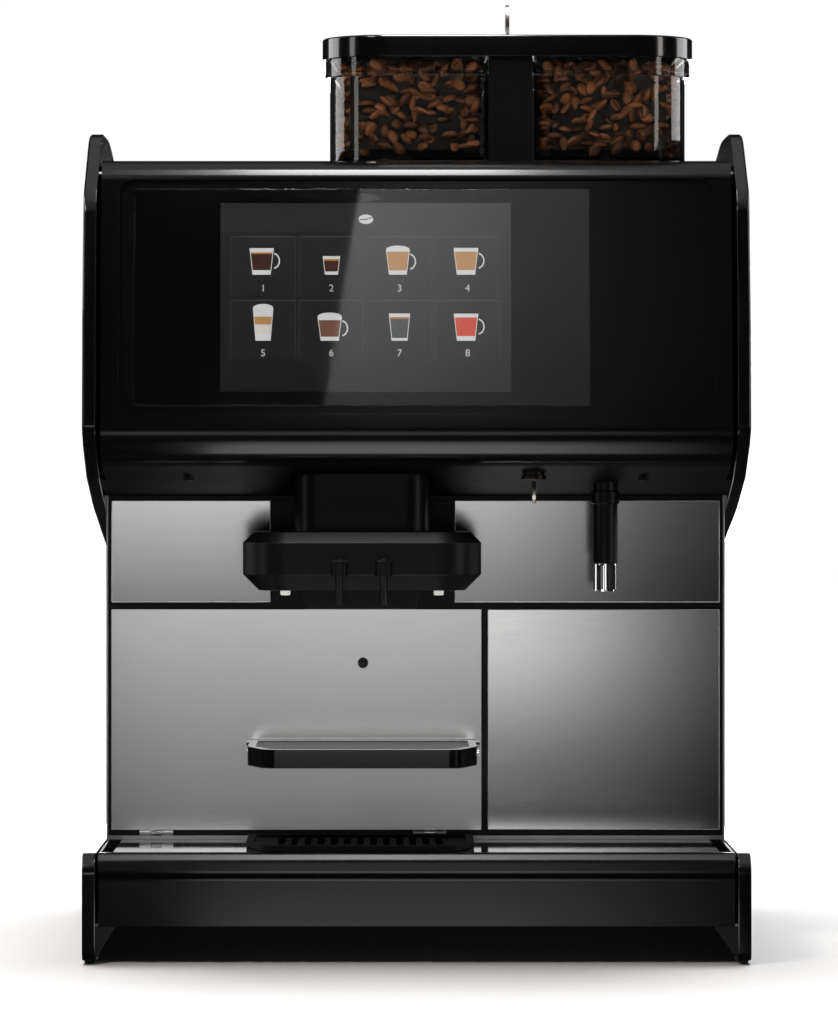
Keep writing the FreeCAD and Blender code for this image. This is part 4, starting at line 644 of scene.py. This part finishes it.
def drink(x, foot, wide, high, fills, handle, dome):
    """A glass standing on foot: fills are (colour, low, high) bands up the bowl."""
    taper, wall, foam_rise = 0.74, 0.55, 3.2

    def at(share, inset=0.0):
        half = wide / 2 * (taper + (1 - taper) * share) - inset
        level = foot + high * share
        return (x - half, level), (x + half, level)

    facet([*at(0), *reversed(at(1))], 3, white)
    for color, low, top in fills:
        facet([*at(low, wall), *reversed(at(top, wall))], 4, color)
    if dome:
        turns = [t / 8 * math.pi for t in range(9)]
        arc = [(x + wide / 2 * math.cos(t), foot + high + foam_rise * math.sin(t)) for t in turns]
        facet(arc, 4, white)
    if handle:
        middle, outer, hole = (x + wide * 0.47, foot + high * 0.52), 5.2, 4.2
        for t in range(8):
            a, b = math.radians(-80 + t * 20), math.radians(-60 + t * 20)
            corners = ((hole, a), (outer, a), (outer, b), (hole, b))
            facet(
                [(middle[0] + r * math.cos(q), middle[1] + r * 1.2 * math.sin(q)) for r, q in corners],
                2,
                white,
            )


screen_left, screen_right, screen_foot, screen_top = -147.2, 70.7, 428.4, 570.1
header_foot = 548.5
for foot, layer, glow in ((screen_foot, 0, backlight), (header_foot, 0.5, upper_glow)):
    facet(
        [(screen_left, foot), (screen_right, foot), (screen_right, screen_top), (screen_left, screen_top)],
        layer,
        glow,
    )
# Each drink is its width, height, fills, whether it has a handle, and whether foam stands over it.
drinks = (
    (18.4, 20.0, ((coffee, 0.17, 0.78), (amber, 0.78, 0.84)), True, False),
    (13.2, 14.0, ((coffee, 0.17, 0.74), (amber, 0.74, 0.84)), False, False),
    (18.0, 18.8, ((tan, 0.17, 0.92),), True, True),
    (18.6, 20.2, ((tan, 0.17, 0.86),), True, False),
    (15.4, 24.5, ((cream, 0.22, 0.5), (tan, 0.5, 0.74), (white, 0.74, 1.0)), False, True),
    (18.4, 18.0, ((cocoa, 0.17, 0.86),), True, True),
    (16.0, 20.5, ((smoky, 0.1, 0.8), (amber, 0.8, 0.87)), False, False),
    (18.6, 20.4, ((tea, 0.17, 0.86),), True, False),
)
columns = ((-139.5, -90.6), (-88.1, -39.6), (-37.1, 11.6), (13.8, 62.9))
rows = ((500.2, 545.2), (451.5, 497.2))
figure_size, figure_rise = 7.5, 3.4
for n, (wide, high, fills, handle, dome) in enumerate(drinks):
    x, z = columns[n % 4], rows[n // 4]
    middle = (x[0] + x[1]) / 2
    facet(rounded((x[0] - 0.5, x[1] + 0.5), (z[0] - 1.1, z[1] - 1), 2.2), 0.8, tile_dark)
    facet(rounded(x, z, 2), 1, tile_rim)
    facet(rounded((x[0] + 0.35, x[1] - 0.35), (z[0], z[1] - 0.7), 1.8), 1.5, tile_face)
    foot = z[0] + 16.0 if n < 4 else z[0] + 15.0
    drink(middle - (1.2 if handle else 0), foot, wide, high, fills, handle, dome)
    letter = bpy.data.curves.new("figure", "FONT")
    letter.body = str(n + 1)
    letter.size = figure_size
    letter.align_x = "CENTER"
    holder = bpy.data.objects.new("figure", letter)
    shape = bpy.data.meshes.new_from_object(holder)
    for polygon in shape.polygons:
        spots = [shape.vertices[v].co for v in polygon.vertices]
        facet([(middle + spot.x, z[0] + figure_rise + spot.y) for spot in spots], 3, white)
    bpy.data.objects.remove(holder)
    bpy.data.curves.remove(letter)
    bpy.data.meshes.remove(shape)
# A small bean mark with its crease stands on the header.
bean_mark = [
    (-38 + 5.5 * math.cos(t / 12 * math.pi), 558 + 3.6 * math.sin(t / 12 * math.pi))
    for t in range(24)
]
facet(bean_mark, 2, white)
facet(
    [(-42.8, 557.2), (-38.4, 557.5), (-33.4, 558.9), (-33.4, 559.6), (-38.6, 558.3), (-42.8, 558.0)],
    3,
    tile_dark,
)
add_piece(picture, "screen_picture", "front_flap", "screen", *picture_inks)

# ------------------------------------------------------------ hopper
# Two clear moulded bins on a black base with a centre pillar, under a gloss black
# lid with its own lock. Roasted beans lie against the walls.
clear_plastic = surface(
    "clear_plastic", (0.86, 0.84, 0.80), (0.9, 0.885, 0.85), 0.03, 0.02, 0.0,
    IOR=1.46, Transmission_Weight=1.0,
)
finished("hopper_base", satin_black, "satin_black", 0.4 * MM)
for each in ("hopper_left", "hopper_right"):
    finished(each, clear_plastic, "clear_plastic", 0.4 * MM)
finished("hopper_lid", gloss_black, "gloss_black", 0.6 * MM, 3)
finished("lid_lock", chrome, "chrome", 0.3 * MM)
finished("lid_key", key_steel, "key_steel", 0.3 * MM)

bean_skin, tree, bsdf = empty_material("roasted_bean")
nodes, links = tree.nodes, tree.links
roast_and_shade = nodes.new("ShaderNodeAttribute")
roast_and_shade.attribute_name = "roast_and_shade"
speckle = nodes.new("ShaderNodeTexNoise")
speckle.inputs["Scale"].default_value = 420
where = nodes.new("ShaderNodeTexCoord")
links.new(where.outputs["Object"], speckle.inputs["Vector"])
shade = nodes.new("ShaderNodeMix")
shade.data_type = "RGBA"
# Colour A is near-black: painted shade for the bean creases and for the box inside the heap. Colour B is
# the roasted bean.
shade.inputs["A"].default_value = (0.012, 0.005, 0.003, 1)
shade.inputs["B"].default_value = (0.55, 0.22, 0.085, 1)
links.new(roast_and_shade.outputs["Fac"], shade.inputs["Factor"])
dull = nodes.new("ShaderNodeMix")
dull.data_type = "RGBA"
dull.blend_type = "MULTIPLY"
dull.inputs["Factor"].default_value = 0.5
links.new(shade.outputs["Result"], dull.inputs["A"])
links.new(speckle.outputs["Color"], dull.inputs["B"])
links.new(dull.outputs["Result"], bsdf.inputs["Base Color"])
oil = nodes.new("ShaderNodeMapRange")
oil.inputs["To Min"].default_value = 0.25
oil.inputs["To Max"].default_value = 0.5
links.new(speckle.outputs["Fac"], oil.inputs["Value"])
links.new(oil.outputs["Result"], bsdf.inputs["Roughness"])
pores = nodes.new("ShaderNodeBump")
pores.inputs["Strength"].default_value = 0.25
pores.inputs["Distance"].default_value = 0.2 * MM
links.new(speckle.outputs["Fac"], pores.inputs["Height"])
links.new(pores.outputs["Normal"], bsdf.inputs["Normal"])

# Loose beans lie in a layer against the walls and over the top, round a dark box that stands in for painted
# shade deep in the heap. A bean is a small ball pressed flat on one side with a groove along it, and the
# groove is painted dark as shade in the crease.
bean_half = Vector((6.4, 4.6, 3.6)) * MM
bean_step = 7.6 * MM
bean_template = bmesh.new()
bmesh.ops.create_uvsphere(bean_template, u_segments=8, v_segments=6, radius=1)
bmesh.ops.rotate(
    bean_template,
    cent=(0, 0, 0),
    matrix=Matrix.Rotation(math.radians(90), 3, "Y"),
    verts=bean_template.verts,
)
groove = []
for vert in bean_template.verts:
    reach = math.hypot(vert.co.y, vert.co.z)
    groove.append(vert.co.z < -0.05 and abs(vert.co.y) < 0.05)
    if vert.co.z < -0.05:
        vert.co.z = reach * (-0.12 if groove[-1] else -0.55)
        vert.co.y *= 0.3
    vert.co = Vector(a * b for a, b in zip(vert.co, bean_half))
template_places = [v.co.copy() for v in bean_template.verts]
bean_template.verts.index_update()
template_faces = [[v.index for v in f.verts] for f in bean_template.faces]
bean_template.free()

fill_low, fill_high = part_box("coffee_beans")
corner_round = 38 * MM
wall_room = 5.6 * MM
layer_deep = 12 * MM
heap_top = 686 * MM
top_clear = 3 * MM
core_foot_inset, core_top_inset = Vector((13, 13, 6)) * MM, Vector((13, 13, 11)) * MM
wall_in = 3.5 * MM
draw = random.Random(7)


def from_wall(x, y, low, high):
    """How far inside the rounded plan of the bins a place is."""
    middle = (low + high) / 2
    dx = abs(x - middle.x) - ((high.x - low.x) / 2 - corner_round)
    dy = abs(y - middle.y) - ((high.y - low.y) / 2 - corner_round)
    outside = math.hypot(max(dx, 0), max(dy, 0)) + min(max(dx, dy), 0)
    return corner_round - outside


for side in ("left", "right"):
    bin_low, bin_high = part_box("hopper_" + side)
    x_low = max(fill_low.x, bin_low.x) if side == "left" else bin_low.x + wall_in
    x_high = bin_high.x - wall_in if side == "left" else fill_high.x
    places, faces, tones = [], [], []
    heap_low, heap_high = Vector((x_low, fill_low.y, fill_low.z)), Vector((x_high, fill_high.y, heap_top))
    counts = [int(length / bean_step) + 1 for length in heap_high - heap_low]
    for step in itertools.product(*(range(count) for count in counts)):
        place = heap_low + Vector(step) * bean_step
        place += Vector(draw.uniform(-1, 1) for _ in range(3)) * bean_step * 0.42
        pillar_side = x_high - place.x if side == "left" else place.x - x_low
        inside = min(from_wall(place.x, place.y, fill_low, fill_high), pillar_side)
        below_top = heap_top - place.z
        if inside < wall_room or below_top < top_clear or place.z < fill_low.z + wall_room:
            continue
        if inside > layer_deep and below_top > layer_deep:
            continue
        turn = draw.uniform(0, 6.28)
        axis = Vector(draw.gauss(0, 1) for _ in range(3)).normalized()
        spin = Matrix.Rotation(turn, 3, axis)
        size = draw.uniform(0.86, 1.08)
        first = len(places)
        places += [place + spin @ (co * size) for co in template_places]
        faces += [[v + first for v in face] for face in template_faces]
        roasted = draw.uniform(0.3, 1)
        # Crease vertices take tone 0, the near-black: painted shade in the groove. The rest of each bean
        # takes its random roast.
        tones += [0 if crease_shaded else roasted for crease_shaded in groove]
    # A dark box fills the middle of the heap: painted shade standing for the dark gaps between the deep
    # beans.
    core_low, core_high = heap_low + core_foot_inset, heap_high - core_top_inset
    core = bmesh.new()
    bmesh.ops.create_cube(core, size=1)
    bmesh.ops.scale(core, vec=core_high - core_low, verts=core.verts)
    bmesh.ops.translate(core, vec=(core_low + core_high) / 2, verts=core.verts)
    core.verts.index_update()
    first = len(places)
    places += [v.co.copy() for v in core.verts]
    faces += [[v.index + first for v in face.verts] for face in core.faces]
    # The box takes tone 0, the near-black painted shade colour.
    tones += [0.0] * len(core.verts)
    core_faces = len(core.faces)
    core.free()
    mesh = bpy.data.meshes.new("beans_" + side)
    mesh.from_pydata(places, [], faces)
    smooth = [True] * (len(faces) - core_faces) + [False] * core_faces
    mesh.polygons.foreach_set("use_smooth", smooth)
    mesh.attributes.new("roast_and_shade", "FLOAT", "POINT").data.foreach_set("value", tones)
    mesh.materials.append(bean_skin)
    beans = bpy.data.objects.new("beans_" + side, mesh)
    scene.collection.objects.link(beans)
    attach(beans, "machine")
    if side == "left":
        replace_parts(beans, "coffee_beans")

# ------------------------------------------------------------ works inside
# Pieces behind the casings: grinders, brew group, boiler, pump, boards, fan and the
# water fittings at the back.
brew_metal = surface(
    "brew_metal", (0.5, 0.5, 0.52), (0.62, 0.62, 0.64), 0.3, 0.1, 0.05, scale=500, metallic=1.0
)
boiler_steel = surface("boiler_steel", (0.48, 0.48, 0.48), (0.6, 0.6, 0.6), 0.28, 0.1, 0.05, metallic=1.0)
brass = surface("brass", (0.55, 0.40, 0.18), (0.68, 0.52, 0.26), 0.25, 0.1, 0.05, metallic=1.0)
board_green = surface("board_green", (0.02, 0.12, 0.05), (0.04, 0.2, 0.09), 0.4, 0.1, 0.1)
for each in ("bean_gate_left", "bean_gate_right"):
    finished(each, grey_plastic, "grey_plastic", 0.3 * MM)
for each in ("grinders", "brew_frame"):
    carried(each, grey_plastic)
for each in ("burr_left", "burr_right", "brew_piston", "brew_cylinder"):
    carried(each, brew_metal)
carried("boiler", boiler_steel)
carried("water_pump", brass)
carried("electronics", board_green)
carried("inner_decks", plain_sheet)
finished("fan_housing", satin_black, "satin_black", 0.4 * MM)
finished("fan_rotor", satin_black, "satin_black", 0.2 * MM, 1)
finished("water_fittings", brass, "brass", 0.4 * MM)
finished("power_inlet", satin_black, "satin_black", 0.4 * MM)
